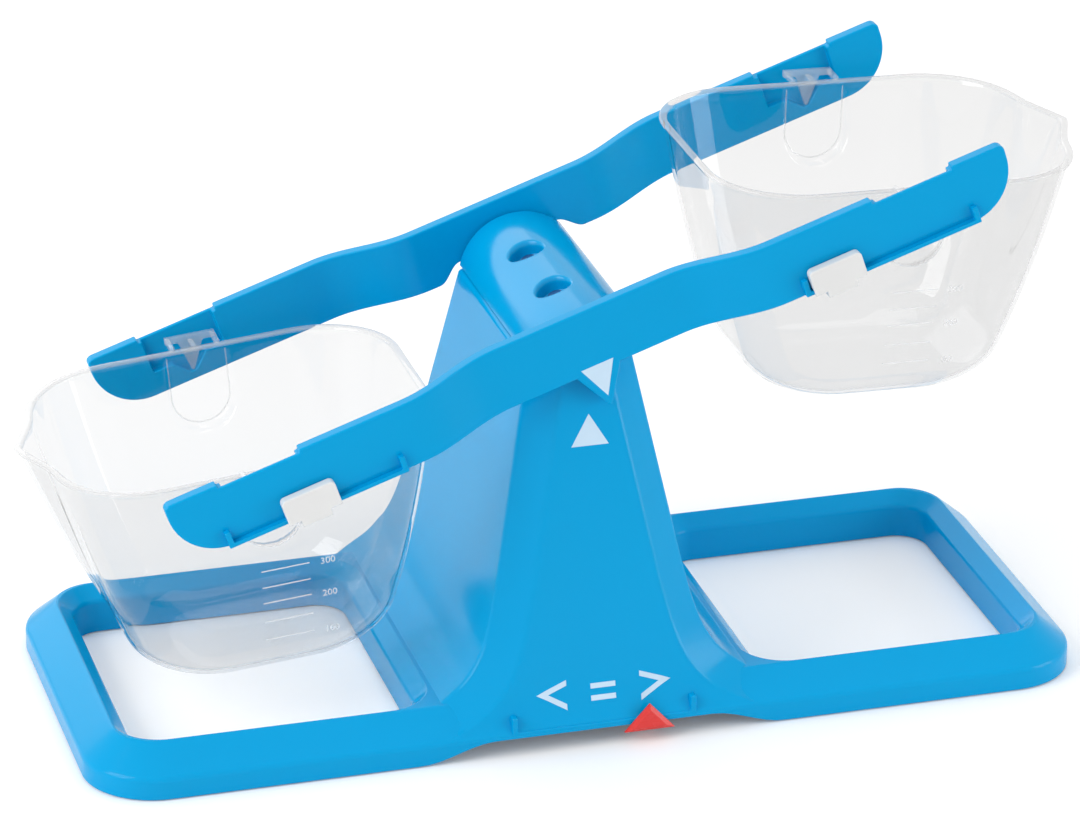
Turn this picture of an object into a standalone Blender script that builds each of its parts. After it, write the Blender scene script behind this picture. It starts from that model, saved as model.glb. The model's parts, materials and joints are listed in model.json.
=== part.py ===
import bpy
import bmesh
import math
from mathutils import Vector

# Two-bucket teaching balance, in metres.
# X runs along the beam, the front is -Y, Z is up and the floor is z = 0.

# base frame
base_length = 0.360
base_depth = 0.151
base_corner_radius = 0.026
base_wall = 0.0022
skirt_height = 0.0076
crest_height = 0.0171
crest_inset = 0.0112
crest_flat = 0.0005
opening_wall_height = 0.0122
opening_inset = 0.0171
opening_near_x = 0.0625
opening_corner_radius = 0.0115
arch_height = 0.0060
arch_half_length = 0.0660
arch_flat_half_length = 0.0390

# tower
tower_height = 0.1320
tower_top_face_half_width = 0.0076
tower_face_taper = 0.197
tower_foot_spread = 0.0252
tower_foot_rise = 0.0090
tower_depth_taper = 0.19
tower_foot_setback = 0.0026
tower_foot_lean = 0.0024
tower_foot_lean_rise = 0.0050
tower_bevel_width = 0.0112
tower_bevel_depth = 0.0083
tower_bevel_spread = 0.0062
tower_bevel_rise = 0.0080
tower_station_power = 1.8
hollow_face_share = 0.6

# ledge on the tower's front for the red marker
ledge_half_length = 0.0334
ledge_height = 0.0024
ledge_stop_width = 0.0021
ledge_stop_height = 0.0080

# fulcrum seats
pivot_rise = 0.0084
beam_tilt_degrees = 18.8
journal_radius = 0.0022
running_gap = 0.0003
seat_post_near_y = 0.0340
seat_post_thickness = 0.0045
seat_post_half_width = 0.0055
seat_post_head = 0.0028

# fulcrum bar
bar_block_half_width = 0.0050
bar_block_half_length = 0.0270
bar_block_top = 0.0023
bar_block_bottom = 0.0036
journal_reach = 0.0460

# hub
hub_half_length = 0.0515
hub_half_chord = 0.0196
hub_skirt_drop = 0.0017
hub_crown = 0.0097
hub_wall = 0.0020
hub_end_wall = 0.0022
well_offset = 0.0171
well_radius = 0.0058
well_rim_radius = 0.0070
well_rim_depth = 0.0012
well_wall = 0.0014
well_floor = 0.0015

# hub screws
screw_head_radius = 0.0032
screw_head_height = 0.0018
screw_head_top_share = 0.8
screw_shank_radius = 0.0014
screw_shank_length = 0.0060

# arms
arm_half_length = 0.1555
arm_thickness = 0.0047
arm_end_outer_y = 0.0669
arm_joggle = 0.0104
joggle_start = 0.0320
joggle_end = 0.0680
arm_top = 0.0155
arm_bottom = 0.0076
arm_lower_corner_radius = 0.0180
arm_upper_corner_radius = 0.0025
arm_upper_corner_share = 0.8
arm_edge_bevel = 0.0006
arm_waist_half_length = 0.0205
arm_waist_end = 0.0270
arm_waist_rise = 0.0059
pointer_half_width = 0.0082
pointer_tip_drop = 0.0216
pointer_thickness = 0.0033

# bucket seats in the arms
bucket_seat_u = 0.1212
bucket_seat_drop = 0.0040
pocket_half_width = 0.0136
pocket_depth = 0.0030
pocket_shelf_rise = 0.0050
shelf_fall = 0.0003
notch_tip_half_width = 0.0009
notch_half_width = 0.0062

# ledges and sliding compensators on the front arm
rail_lead = 0.0060
rail_far_u = 0.1400
rail_height = 0.0018
rail_reach = 0.0024
rail_stop_width = 0.0020
rail_stop_height = 0.0064
compensator_width = 0.0195
compensator_height = 0.0094
compensator_front_wall = 0.0015
compensator_hook_width = 0.0110
compensator_hook_drop = 0.0021
compensator_toe = 0.0012
compensator_toe_height = 0.0024
left_compensator_travel = 0.0350
right_compensator_travel = 0.0125

# red marker on the base
marker_centre_x = 0.0160
marker_half_width = 0.0091
marker_height = 0.0100
marker_thickness = 0.0018
marker_foot_z = 0.0037
marker_grip_half_width = 0.0040
marker_toe = 0.0012
marker_toe_rise = 0.0016

# buckets, measured from the hook tips
bucket_half_length = 0.0661
bucket_half_width = 0.0550
bucket_corner_radius = 0.0320
bucket_height = 0.0885
bucket_rim_rise = 0.0120
bucket_end_taper = 0.26
bucket_side_taper = 0.20
bucket_end_bulge = 0.0025
bucket_wall = 0.0016
bucket_foot_radius = 0.0160
bucket_lip = 0.0020
bucket_lip_height = 0.0022
spout_reach = 0.0088
spout_half_width = 0.0220
spout_depth = 0.0700
spout_foot_share = 0.25
spout_room_share = 0.9
pad_half_width = 0.0115
pad_depth = 0.0300
hook_half_width = 0.0092
hook_rise = 0.0135
hook_bar_height = 0.0025
hook_thickness = 0.0022
hook_strut = 0.0020
hook_point_half_width = 0.0045
hook_tip_half_width = 0.0005
hook_end_gap = 0.00045
left_bucket_tilt_degrees = -5.3
right_bucket_tilt_degrees = 1.4

overrun = 0.0020
blend = 0.0004
merge_distance = 0.000005
smooth_angle = math.radians(35)

beam_tilt = math.radians(-beam_tilt_degrees)
pivot_height = tower_height + pivot_rise
tower_foot_half_depth = base_depth / 2 - tower_foot_setback
rail_near_u = joggle_end + rail_lead
arm_end_inner_y = arm_end_outer_y - arm_thickness
hook_outer_y = arm_end_inner_y + pocket_depth - hook_end_gap
hook_inner_y = hook_outer_y - hook_thickness


def clear_scene():
    for item in list(bpy.data.objects):
        bpy.data.objects.remove(item, do_unlink=True)


def make_collection(name):
    group = bpy.data.collections.new(name)
    bpy.context.scene.collection.children.link(group)
    return group


def plastic(name, colour, roughness, metallic=0.0, alpha=1.0):
    shade = bpy.data.materials.new(name)
    shade.use_nodes = True
    shader = shade.node_tree.nodes["Principled BSDF"]
    shader.inputs["Base Color"].default_value = (*colour, 1.0)
    shader.inputs["Roughness"].default_value = roughness
    shader.inputs["Metallic"].default_value = metallic
    shader.inputs["Alpha"].default_value = alpha
    shade.diffuse_color = (*colour, alpha)
    return shade


def add_part(name, mesh, shade, parent=None):
    part = bpy.data.objects.new(name, mesh)
    parts.objects.link(part)
    part.parent = parent
    if shade.name not in mesh.materials:
        mesh.materials.append(shade)
    return part


def add_cutter(name, mesh, parent=None):
    cutter = bpy.data.objects.new(name, mesh)
    cutters.objects.link(cutter)
    cutter.parent = parent
    cutter.hide_render = True
    cutter.display_type = "WIRE"
    return cutter


def boolean(part, cutter, operation):
    step = part.modifiers.new(cutter.name, "BOOLEAN")
    step.object = cutter
    step.operation = operation
    step.solver = "EXACT"


def smooth(mesh):
    mesh.shade_smooth()
    mesh.set_sharp_from_angle(angle=smooth_angle)


def box_mesh(name, low, high):
    low, high = Vector(low), Vector(high)
    form = bmesh.new()
    bmesh.ops.create_cube(form, size=1.0)
    for corner in form.verts:
        share = corner.co + Vector((0.5, 0.5, 0.5))
        corner.co = low + Vector(a * b for a, b in zip(share, high - low))
    mesh = bpy.data.meshes.new(name)
    form.to_mesh(mesh)
    form.free()
    return mesh


def round_mesh(name, low_radius, high_radius, length, segments=24, axis="Z"):
    # a cylinder or cone from the origin along the axis
    form = bmesh.new()
    bmesh.ops.create_cone(form, cap_ends=True, segments=segments, radius1=low_radius,
                          radius2=high_radius, depth=length)
    for point in form.verts:
        point.co.z += length / 2
        if axis == "Y":
            point.co = Vector((point.co.x, point.co.z, -point.co.y))
    mesh = bpy.data.meshes.new(name)
    form.to_mesh(mesh)
    form.free()
    smooth(mesh)
    return mesh


def prism_mesh(name, outline, low, high, plane="XZ"):
    # a flat outline filled as a curve and pulled from low to high across its plane
    curve = bpy.data.curves.new(name + "_outline", "CURVE")
    curve.dimensions = "2D"
    curve.fill_mode = "BOTH"
    curve.extrude = (high - low) / 2
    spline = curve.splines.new("POLY")
    spline.points.add(len(outline) - 1)
    for point, (across, up) in zip(spline.points, outline):
        point.co = (across, up, 0.0, 1.0)
    spline.use_cyclic_u = True
    holder = bpy.data.objects.new(name + "_outline", curve)
    cutters.objects.link(holder)
    bpy.context.view_layer.update()
    solid = bpy.data.meshes.new_from_object(holder.evaluated_get(bpy.context.evaluated_depsgraph_get()))
    bpy.data.objects.remove(holder, do_unlink=True)
    bpy.data.curves.remove(curve)
    form = bmesh.new()
    form.from_mesh(solid)
    bmesh.ops.remove_doubles(form, verts=form.verts, dist=merge_distance)
    bmesh.ops.dissolve_limit(form, angle_limit=math.radians(0.5), verts=form.verts, edges=form.edges)
    middle = (low + high) / 2
    for point in form.verts:
        across, up, deep = point.co
        if plane == "XZ":
            point.co = Vector((across, middle - deep, up))
        else:
            point.co = Vector((middle + deep, across, up))
    bmesh.ops.recalc_face_normals(form, faces=form.faces)
    form.to_mesh(solid)
    form.free()
    solid.name = name
    solid.materials.clear()
    return solid


def loft_mesh(name, rings, rounded=True):
    # closed sections joined in order, with a flat cap at each end
    form = bmesh.new()
    rows = [[form.verts.new(point) for point in ring] for ring in rings]
    count = len(rows[0])
    for low, high in zip(rows, rows[1:]):
        for i in range(count):
            k = (i + 1) % count
            form.faces.new((low[i], low[k], high[k], high[i]))
    form.faces.new(list(reversed(rows[0])))
    form.faces.new(rows[-1])
    bmesh.ops.recalc_face_normals(form, faces=form.faces)
    mesh = bpy.data.meshes.new(name)
    form.to_mesh(mesh)
    form.free()
    if rounded:
        smooth(mesh)
    return mesh


def rounded_rectangle(half_x, half_y, radius, z, centre_x=0.0, steps=6):
    ring = []
    for quarter in range(4):
        side_x = 1 if quarter in (0, 3) else -1
        side_y = 1 if quarter in (0, 1) else -1
        for step in range(steps + 1):
            turn = math.pi / 2 * (quarter + step / steps)
            x = centre_x + side_x * (half_x - radius) + radius * math.cos(turn)
            y = side_y * (half_y - radius) + radius * math.sin(turn)
            ring.append((x, y, z))
    return ring


def slab_mesh(name, inset):
    # the low frame before its openings: upright skirt, then a slope up to the crest
    rings = []
    foot = 0.0 if inset == 0 else -overrun
    for inward, z in ((0.0, foot), (0.0, skirt_height), (crest_inset, crest_height - inset)):
        half_x = base_length / 2 - inward - inset
        half_y = base_depth / 2 - inward - inset
        rings.append(rounded_rectangle(half_x, half_y, base_corner_radius - inward - inset, z))
    return loft_mesh(name, rings, rounded=False)


def face_half_width(z):
    spread = tower_foot_spread * math.exp(-(z - skirt_height) / tower_foot_rise)
    return tower_top_face_half_width + tower_face_taper * (tower_height - z) + spread


def tower_half_depth(z):
    lean = tower_foot_lean * math.exp(-(z - skirt_height) / tower_foot_lean_rise)
    return tower_foot_half_depth - tower_depth_taper * (z - skirt_height) + lean


def tower_half_width(z):
    # above the crest the side follows the face edge, below it the opening's slope
    if z >= crest_height:
        spread = tower_bevel_spread * math.exp(-(z - crest_height) / tower_bevel_rise)
        return face_half_width(z) + tower_bevel_width + spread
    slope = (opening_inset - crest_inset) / (crest_height - opening_wall_height)
    drop = min(crest_height - z, crest_height - opening_wall_height)
    return tower_half_width(crest_height) + slope * drop - crest_flat


def tower_mesh(name, inset):
    # sections with the two front corners bevelled, wide at the foot and narrow at the top
    rings = []
    stations = 18
    for station in range(stations + 1):
        share = (station / stations) ** tower_station_power
        z = skirt_height + share * (tower_height - skirt_height)
        face = face_half_width(z) - inset * hollow_face_share
        side = min(tower_half_width(z), opening_near_x - crest_flat) - inset
        deep = tower_half_depth(z) - inset
        face = min(face, side - tower_bevel_width / 4)
        near = deep - tower_bevel_depth
        if station == stations:
            z -= inset
        back = [(side, deep, z), (-side, deep, z)]
        rings.append(back + [(-side, -near, z), (-face, -deep, z), (face, -deep, z), (side, -near, z)])
    first = [(x, y, -overrun if inset else skirt_height / 2) for x, y, z in rings[0]]
    return loft_mesh(name, [first] + rings)


def opening_mesh(name, side, grow):
    # one ring opening: upright wall, then a slope out to the crest
    low = opening_near_x
    high = base_length / 2 - opening_inset
    centre = side * (low + high) / 2
    half_x = (high - low) / 2
    half_y = base_depth / 2 - opening_inset
    flare = opening_inset - crest_inset - crest_flat
    rings = []
    for out, z in ((0.0, -2 * overrun), (0.0, opening_wall_height), (flare, crest_height),
                   (flare, crest_height + overrun)):
        extra = out + grow
        rings.append(rounded_rectangle(half_x + extra, half_y + extra, opening_corner_radius + extra,
                                       z, centre))
    return loft_mesh(name, rings)


def arch_mesh(name):
    # the raised lower edge between the feet, cut through front and back
    outline = [(-arch_half_length, -overrun), (arch_half_length, -overrun), (arch_half_length, 0.0)]
    steps = 6
    run = arch_half_length - arch_flat_half_length
    for step in range(1, steps + 1):
        share = step / steps
        rise = (1 - math.cos(math.pi * share)) / 2
        outline.append((arch_half_length - run * share, arch_height * rise))
    outline += [(-x, z) for x, z in reversed(outline[2:])]
    return prism_mesh(name, outline, -base_depth / 2 - overrun, base_depth / 2 + overrun)


def ledge_back():
    # where the ledge and its stops end inside the front wall
    return -tower_half_depth(arch_height + ledge_stop_height) + base_wall / 2


def ledge_mesh(name):
    # the lip that the marker slides on, with a stop at each end
    stop = ledge_half_length - ledge_stop_width
    top = arch_height + ledge_height
    head = arch_height + ledge_stop_height
    outline = [(-ledge_half_length, arch_height), (ledge_half_length, arch_height),
               (ledge_half_length, head), (stop, head), (stop, top), (-stop, top), (-stop, head),
               (-ledge_half_length, head)]
    return prism_mesh(name, outline, -base_depth / 2, ledge_back())


def seat_post_mesh(name, side):
    # an upright with a round-bottomed slot for the fulcrum bar's journal
    low = tower_height - base_wall / 2
    high = pivot_height + seat_post_head
    slot = journal_radius + running_gap
    outline = [(-seat_post_half_width, low), (seat_post_half_width, low), (seat_post_half_width, high),
               (slot, high)]
    steps = 8
    for step in range(steps + 1):
        turn = -math.pi * step / steps
        outline.append((slot * math.cos(turn), pivot_height + slot * math.sin(turn)))
    outline += [(-slot, high), (-seat_post_half_width, high)]
    near = side * seat_post_near_y
    far = side * (seat_post_near_y + seat_post_thickness)
    return prism_mesh(name, outline, min(near, far), max(near, far))


def build_base(shade):
    base = add_part("base_tower", slab_mesh("base_tower", 0.0), shade)
    boolean(base, add_cutter("tower_form", tower_mesh("tower_form", 0.0)), "UNION")
    for side, word in ((-1, "left"), (1, "right")):
        hole = add_cutter(word + "_opening", opening_mesh(word + "_opening", side, 0.0))
        boolean(base, hole, "DIFFERENCE")
    boolean(base, add_cutter("foot_arch", arch_mesh("foot_arch")), "DIFFERENCE")
    hollow = add_cutter("hollow", slab_mesh("hollow", base_wall))
    boolean(hollow, add_cutter("tower_hollow", tower_mesh("tower_hollow", base_wall)), "UNION")
    for side, word in ((-1, "left"), (1, "right")):
        wall = add_cutter(word + "_opening_wall", opening_mesh(word + "_opening_wall", side, base_wall))
        boolean(hollow, wall, "DIFFERENCE")
    boolean(base, hollow, "DIFFERENCE")
    boolean(base, add_cutter("marker_ledge", ledge_mesh("marker_ledge")), "UNION")
    for side, word in ((-1, "front"), (1, "back")):
        boolean(base, add_cutter(word + "_seat", seat_post_mesh(word + "_seat", side)), "UNION")
    return base


def hub_outline(radius, centre, floor, steps=20):
    # an arch of the given radius, closed along the floor
    half = math.sqrt(radius * radius - (floor - centre) ** 2)
    start = math.atan2(floor - centre, half)
    outline = []
    for step in range(steps + 1):
        turn = start + (math.pi - 2 * start) * step / steps
        outline.append((radius * math.cos(turn), centre + radius * math.sin(turn)))
    return outline


def build_hub(shade, beam):
    rise = hub_crown + hub_skirt_drop
    radius = (hub_half_chord ** 2 + rise ** 2) / (2 * rise)
    centre = hub_crown - radius
    shell = prism_mesh("hub_saddle", hub_outline(radius, centre, -hub_skirt_drop), -hub_half_length,
                       hub_half_length)
    smooth(shell)
    hub = add_part("hub_saddle", shell, shade, beam)
    inner = hub_outline(radius - hub_wall, centre, -hub_skirt_drop)
    reach = inner[0][0]
    inner = [(reach, -hub_skirt_drop - overrun)] + inner + [(-reach, -hub_skirt_drop - overrun)]
    inside = hub_half_length - hub_end_wall
    boolean(hub, add_cutter("hub_hollow", prism_mesh("hub_hollow", inner, -inside, inside), beam),
            "DIFFERENCE")
    floor = bar_block_top + running_gap
    boss_mesh = round_mesh("well_boss", well_radius + well_wall, well_radius + well_wall,
                           hub_crown - hub_wall / 2 - floor, 32)
    bore_mesh = round_mesh("well_bore", well_radius, well_radius, hub_crown + overrun - floor - well_floor, 32)
    rim_slope = (well_rim_radius - well_radius) / well_rim_depth
    rim_mesh = round_mesh("well_rim", well_radius, well_rim_radius + rim_slope * overrun,
                          well_rim_depth + overrun, 32)
    hole_mesh = round_mesh("screw_hole", screw_shank_radius + running_gap, screw_shank_radius + running_gap,
                           hub_crown, 16)
    for side, word in ((-1, "front"), (1, "back")):
        y = side * well_offset
        for kind, mesh, z, operation in (("boss", boss_mesh, floor, "UNION"),
                                         ("well", bore_mesh, floor + well_floor, "DIFFERENCE"),
                                         ("rim", rim_mesh, hub_crown - well_rim_depth, "DIFFERENCE"),
                                         ("screw_hole", hole_mesh, 0.0, "DIFFERENCE")):
            tool = add_cutter(word + "_" + kind, mesh, beam)
            tool.location = (0.0, y, z)
            boolean(hub, tool, operation)
    return floor + well_floor


def build_hub_screws(shade, beam, seat):
    for side, word in ((-1, "front"), (1, "back")):
        head = round_mesh("hub_screw_" + word, screw_head_radius, screw_head_radius * screw_head_top_share,
                          screw_head_height, 20)
        screw = add_part("hub_screw_" + word, head, shade, beam)
        screw.location = (0.0, side * well_offset, seat + running_gap)
        shank = add_cutter("shank_" + word, round_mesh("shank_" + word, screw_shank_radius, screw_shank_radius,
                                                       screw_shank_length + screw_head_height / 2, 16), beam)
        shank.location = (0.0, side * well_offset, seat + running_gap - screw_shank_length)
        boolean(screw, shank, "UNION")


def build_fulcrum_bar(shade, beam):
    block = box_mesh("fulcrum_bar", (-bar_block_half_width, -bar_block_half_length, -bar_block_bottom),
                     (bar_block_half_width, bar_block_half_length, bar_block_top))
    bar = add_part("fulcrum_bar", block, shade, beam)
    rod = add_cutter("journals", round_mesh("journals", journal_radius, journal_radius, 2 * journal_reach,
                                            24, "Y"), beam)
    rod.location = (0.0, -journal_reach, 0.0)
    boolean(bar, rod, "UNION")
    hole = screw_shank_radius + running_gap
    for side, word in ((-1, "front"), (1, "back")):
        bore = add_cutter("bar_hole_" + word, round_mesh("bar_hole_" + word, hole, hole,
                                                         bar_block_top + bar_block_bottom + 2 * overrun, 16), beam)
        bore.location = (0.0, side * well_offset, -bar_block_bottom - overrun)
        boolean(bar, bore, "DIFFERENCE")


def joggle(u):
    # how far the arm's middle is drawn in towards the hub at this distance along it
    share = (abs(u) - joggle_start) / (joggle_end - joggle_start)
    share = min(max(share, 0.0), 1.0)
    return arm_joggle * (1 + math.cos(math.pi * share)) / 2


def arm_stations():
    # distances along one half of the arm, close together where it bends
    half = [0.0]
    rounds = 6
    for step in range(rounds + 1):
        half.append(arm_waist_half_length + (arm_waist_end - arm_waist_half_length) * step / rounds)
    bends = 9
    for step in range(bends + 1):
        half.append(joggle_start + (joggle_end - joggle_start) * step / bends)
    corner = arm_half_length - arm_lower_corner_radius
    half.append((joggle_end + corner) / 2)
    turns = 8
    for step in range(turns + 1):
        half.append(corner + arm_lower_corner_radius * math.sin(math.pi / 2 * step / turns))
    return [-u for u in reversed(half[1:])] + half


def arm_low(u, side):
    past = max(abs(u) - arm_half_length + arm_lower_corner_radius, 0.0)
    lift = arm_lower_corner_radius - math.sqrt(max(arm_lower_corner_radius ** 2 - past ** 2, 0.0))
    share = (arm_waist_end - abs(u)) / (arm_waist_end - arm_waist_half_length)
    share = min(max(share, 0.0), 1.0)
    if side == 1:
        lift += arm_waist_rise * (1 - math.cos(math.pi * share)) / 2
    return -arm_bottom + lift


def arm_high(u):
    past = max(abs(u) - arm_half_length + arm_upper_corner_radius, 0.0)
    fall = arm_upper_corner_radius - math.sqrt(max(arm_upper_corner_radius ** 2 - past ** 2, 0.0))
    return arm_top - fall * arm_upper_corner_share


def arm_mesh(name, side):
    rings = []
    for u in arm_stations():
        outer = side * (arm_end_outer_y - joggle(u))
        inner = side * (arm_end_inner_y - joggle(u))
        low, high = arm_low(u, side), arm_high(u)
        cut = arm_edge_bevel
        rings.append([(u, outer, low), (u, outer, high - cut), (u, outer - side * cut, high),
                      (u, inner + side * cut, high), (u, inner, high - cut), (u, inner, low)])
    return loft_mesh(name, rings)


def pocket_mesh(name, side, end):
    # the open-topped recess for a bucket's hook, with a V at its foot for the hook's point
    seat = -bucket_seat_drop
    shelf = seat + pocket_shelf_rise
    low = seat - running_gap
    right = [(notch_tip_half_width, low), (notch_half_width, shelf), (pocket_half_width, shelf + shelf_fall),
             (pocket_half_width, arm_top + overrun)]
    outline = right + [(-u, v) for u, v in reversed(right)]
    outline = [(end * bucket_seat_u + u, v) for u, v in outline]
    near = side * (arm_end_inner_y - overrun)
    far = side * (arm_end_inner_y + pocket_depth)
    return prism_mesh(name, outline, min(near, far), max(near, far))


def rail_mesh(name, end):
    # the lip along the front arm's lower edge, with an upright stop at each end
    low = -arm_bottom + blend / 2
    top = -arm_bottom + rail_height
    head = -arm_bottom + rail_stop_height
    outline = [(rail_near_u, low), (rail_far_u, low), (rail_far_u, head), (rail_far_u - rail_stop_width, head),
               (rail_far_u - rail_stop_width, top), (rail_near_u + rail_stop_width, top),
               (rail_near_u + rail_stop_width, head), (rail_near_u, head)]
    outline = [(end * u, v) for u, v in outline]
    return prism_mesh(name, outline, -arm_end_outer_y - rail_reach, -arm_end_outer_y + arm_thickness / 4)


def build_arms(shade, beam):
    for side, word in ((-1, "front"), (1, "back")):
        arm = add_part(word + "_arm", arm_mesh(word + "_arm", side), shade, beam)
        if side == -1:
            front = -arm_end_outer_y + arm_joggle
            tip = [(-pointer_half_width, -arm_bottom + overrun), (-pointer_half_width, -arm_bottom),
                   (-hook_tip_half_width, -pointer_tip_drop), (hook_tip_half_width, -pointer_tip_drop),
                   (pointer_half_width, -arm_bottom), (pointer_half_width, -arm_bottom + overrun)]
            pointer = prism_mesh("arm_pointer", tip, front + arm_edge_bevel / 2, front + pointer_thickness)
            boolean(arm, add_cutter("arm_pointer", pointer, beam), "UNION")
        for end, where in ((-1, "left"), (1, "right")):
            pocket = pocket_mesh(word + "_pocket_" + where, side, end)
            boolean(arm, add_cutter(word + "_pocket_" + where, pocket, beam), "DIFFERENCE")
            if side == -1:
                boolean(arm, add_cutter("rail_" + where, rail_mesh("rail_" + where, end), beam), "UNION")


def build_compensators(shade, beam):
    face = -arm_end_outer_y
    low = -arm_bottom
    gap = running_gap
    front = face - rail_reach - gap - compensator_front_wall
    grip = face - rail_reach - gap
    head = low + compensator_height
    body = [(face - gap, head), (front, head), (front, low), (grip, low), (grip, low + rail_height + gap),
            (face - gap, low + rail_height + gap)]
    back = face + arm_thickness + gap
    under = low - gap
    foot = low - gap - compensator_hook_drop
    hook = [(front, low + rail_height / 2), (front, foot), (back + compensator_toe, foot),
            (back + compensator_toe, low + compensator_toe_height), (back, low + compensator_toe_height),
            (back, under), (grip, under), (grip, low + rail_height / 2)]
    for word, u in (("left", -rail_near_u - left_compensator_travel),
                    ("right", rail_near_u + right_compensator_travel)):
        name = word + "_compensator"
        half = compensator_width / 2
        clip = add_part(name, prism_mesh(name, body, -half, half, "YZ"), shade, beam)
        clip.location = (u, 0.0, 0.0)
        half = compensator_hook_width / 2
        hook_tool = add_cutter(word + "_hook", prism_mesh(word + "_hook", hook, -half, half, "YZ"), beam)
        hook_tool.location = (u, 0.0, 0.0)
        boolean(clip, hook_tool, "UNION")


def build_marker(shade):
    # a triangle in front of the ledge, gripping the skirt's lower edge from behind
    front = -base_depth / 2 - running_gap - marker_thickness
    back = -base_depth / 2 - running_gap
    tip = marker_foot_z + marker_height
    outline = [(-marker_half_width, marker_foot_z), (marker_half_width, marker_foot_z),
               (hook_tip_half_width, tip), (-hook_tip_half_width, tip)]
    marker = add_part("marker_clip", prism_mesh("marker_clip", outline, front, back), shade)
    marker.location = (marker_centre_x, 0.0, 0.0)
    under = arch_height - running_gap
    inside = ledge_back() + running_gap
    profile = [(back - marker_thickness / 2, marker_foot_z), (inside + marker_toe, marker_foot_z),
               (inside + marker_toe, under + marker_toe_rise), (inside, under + marker_toe_rise),
               (inside, under), (back - marker_thickness / 2, under)]
    grip = prism_mesh("marker_grip", profile, -marker_grip_half_width, marker_grip_half_width, "YZ")
    tool = add_cutter("marker_grip", grip)
    tool.location = (marker_centre_x, 0.0, 0.0)
    boolean(marker, tool, "UNION")


def bucket_ring(depth, inset, foot_inset, z):
    # a rounded rectangle with the pouring spout drawn out of its -X end
    bulge = bucket_end_bulge * math.sin(math.pi * depth / bucket_height)
    half_x = bucket_half_length - bucket_end_taper * depth + bulge - inset - foot_inset
    half_y = bucket_half_width - bucket_side_taper * depth - inset - foot_inset
    radius = bucket_corner_radius - inset - foot_inset / 2 - bucket_side_taper * depth / 3
    ring = rounded_rectangle(half_x, half_y, radius, z)
    share = max(1 - depth / spout_depth, 0.0)
    wide = spout_half_width * (spout_foot_share + (1 - spout_foot_share) * share) - inset / 2
    wide = min(wide, (half_y - radius) * spout_room_share)
    reach = spout_reach * share
    halfway = len(ring) // 2
    spout = [(-half_x, wide, z), (-half_x - reach, 0.0, z), (-half_x, -wide, z)]
    return ring[:halfway] + spout + ring[halfway:]


def bucket_mesh(name, inset):
    rings = []
    deepest = bucket_height - inset
    foot = bucket_foot_radius - inset
    turns = 5
    for step in range(turns):
        turn = math.pi / 2 * step / turns
        depth = deepest - foot * (1 - math.cos(turn))
        rings.append((depth, foot * (1 - math.sin(turn))))
    rows = 6
    for row in range(rows + 1):
        share = row / rows
        rings.append(((deepest - foot) * (1 - share) + bucket_lip_height * share, 0.0))
    loops = [bucket_ring(depth, inset, pull, bucket_rim_rise - depth) for depth, pull in rings]
    if inset:
        loops.append(bucket_ring(0.0, inset, 0.0, bucket_rim_rise))
        loops.append(bucket_ring(0.0, inset, 0.0, bucket_rim_rise + overrun))
    else:
        low = bucket_rim_rise - bucket_lip_height
        loops.append(bucket_ring(bucket_lip_height, -bucket_lip, 0.0, low))
        loops.append(bucket_ring(0.0, -bucket_lip, 0.0, bucket_rim_rise))
    return loft_mesh(name, loops)


def pad_mesh(name, inset):
    # an upright U that stands out of both long walls under the hooks
    half = pad_half_width - inset
    top = bucket_rim_rise - bucket_lip_height / 2
    bottom = bucket_rim_rise - pad_depth + inset
    outline = [(half, top), (-half, top)]
    steps = 10
    for step in range(steps + 1):
        turn = math.pi + math.pi * step / steps
        outline.append((half * math.cos(turn), bottom + half + half * math.sin(turn)))
    reach = bucket_half_width - inset - blend
    return prism_mesh(name, outline, -reach, reach)


def hook_meshes(word, side):
    # a flat bar with a point below it, held off the rim by three struts
    low = hook_rise - hook_bar_height
    outline = [(hook_half_width, hook_rise), (hook_half_width, low + shelf_fall), (hook_point_half_width, low),
               (hook_tip_half_width, 0.0)]
    outline += [(-x, z) for x, z in reversed(outline)]
    near, far = side * hook_inner_y, side * hook_outer_y
    meshes = [prism_mesh("hook_bar_" + word, outline, min(near, far), max(near, far))]
    start = bucket_half_width - bucket_wall / 2
    for centre, top in ((-hook_half_width + hook_strut / 2, hook_rise - blend), (0.0, bucket_rim_rise - blend),
                        (hook_half_width - hook_strut / 2, hook_rise - blend)):
        near, far = side * start, side * (hook_inner_y + hook_thickness / 2)
        shrink = hook_strut / 2 - blend / 2
        meshes.append(box_mesh("strut_" + word, (centre - shrink, min(near, far), low + blend),
                               (centre + shrink, max(near, far), top)))
    return meshes


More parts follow.
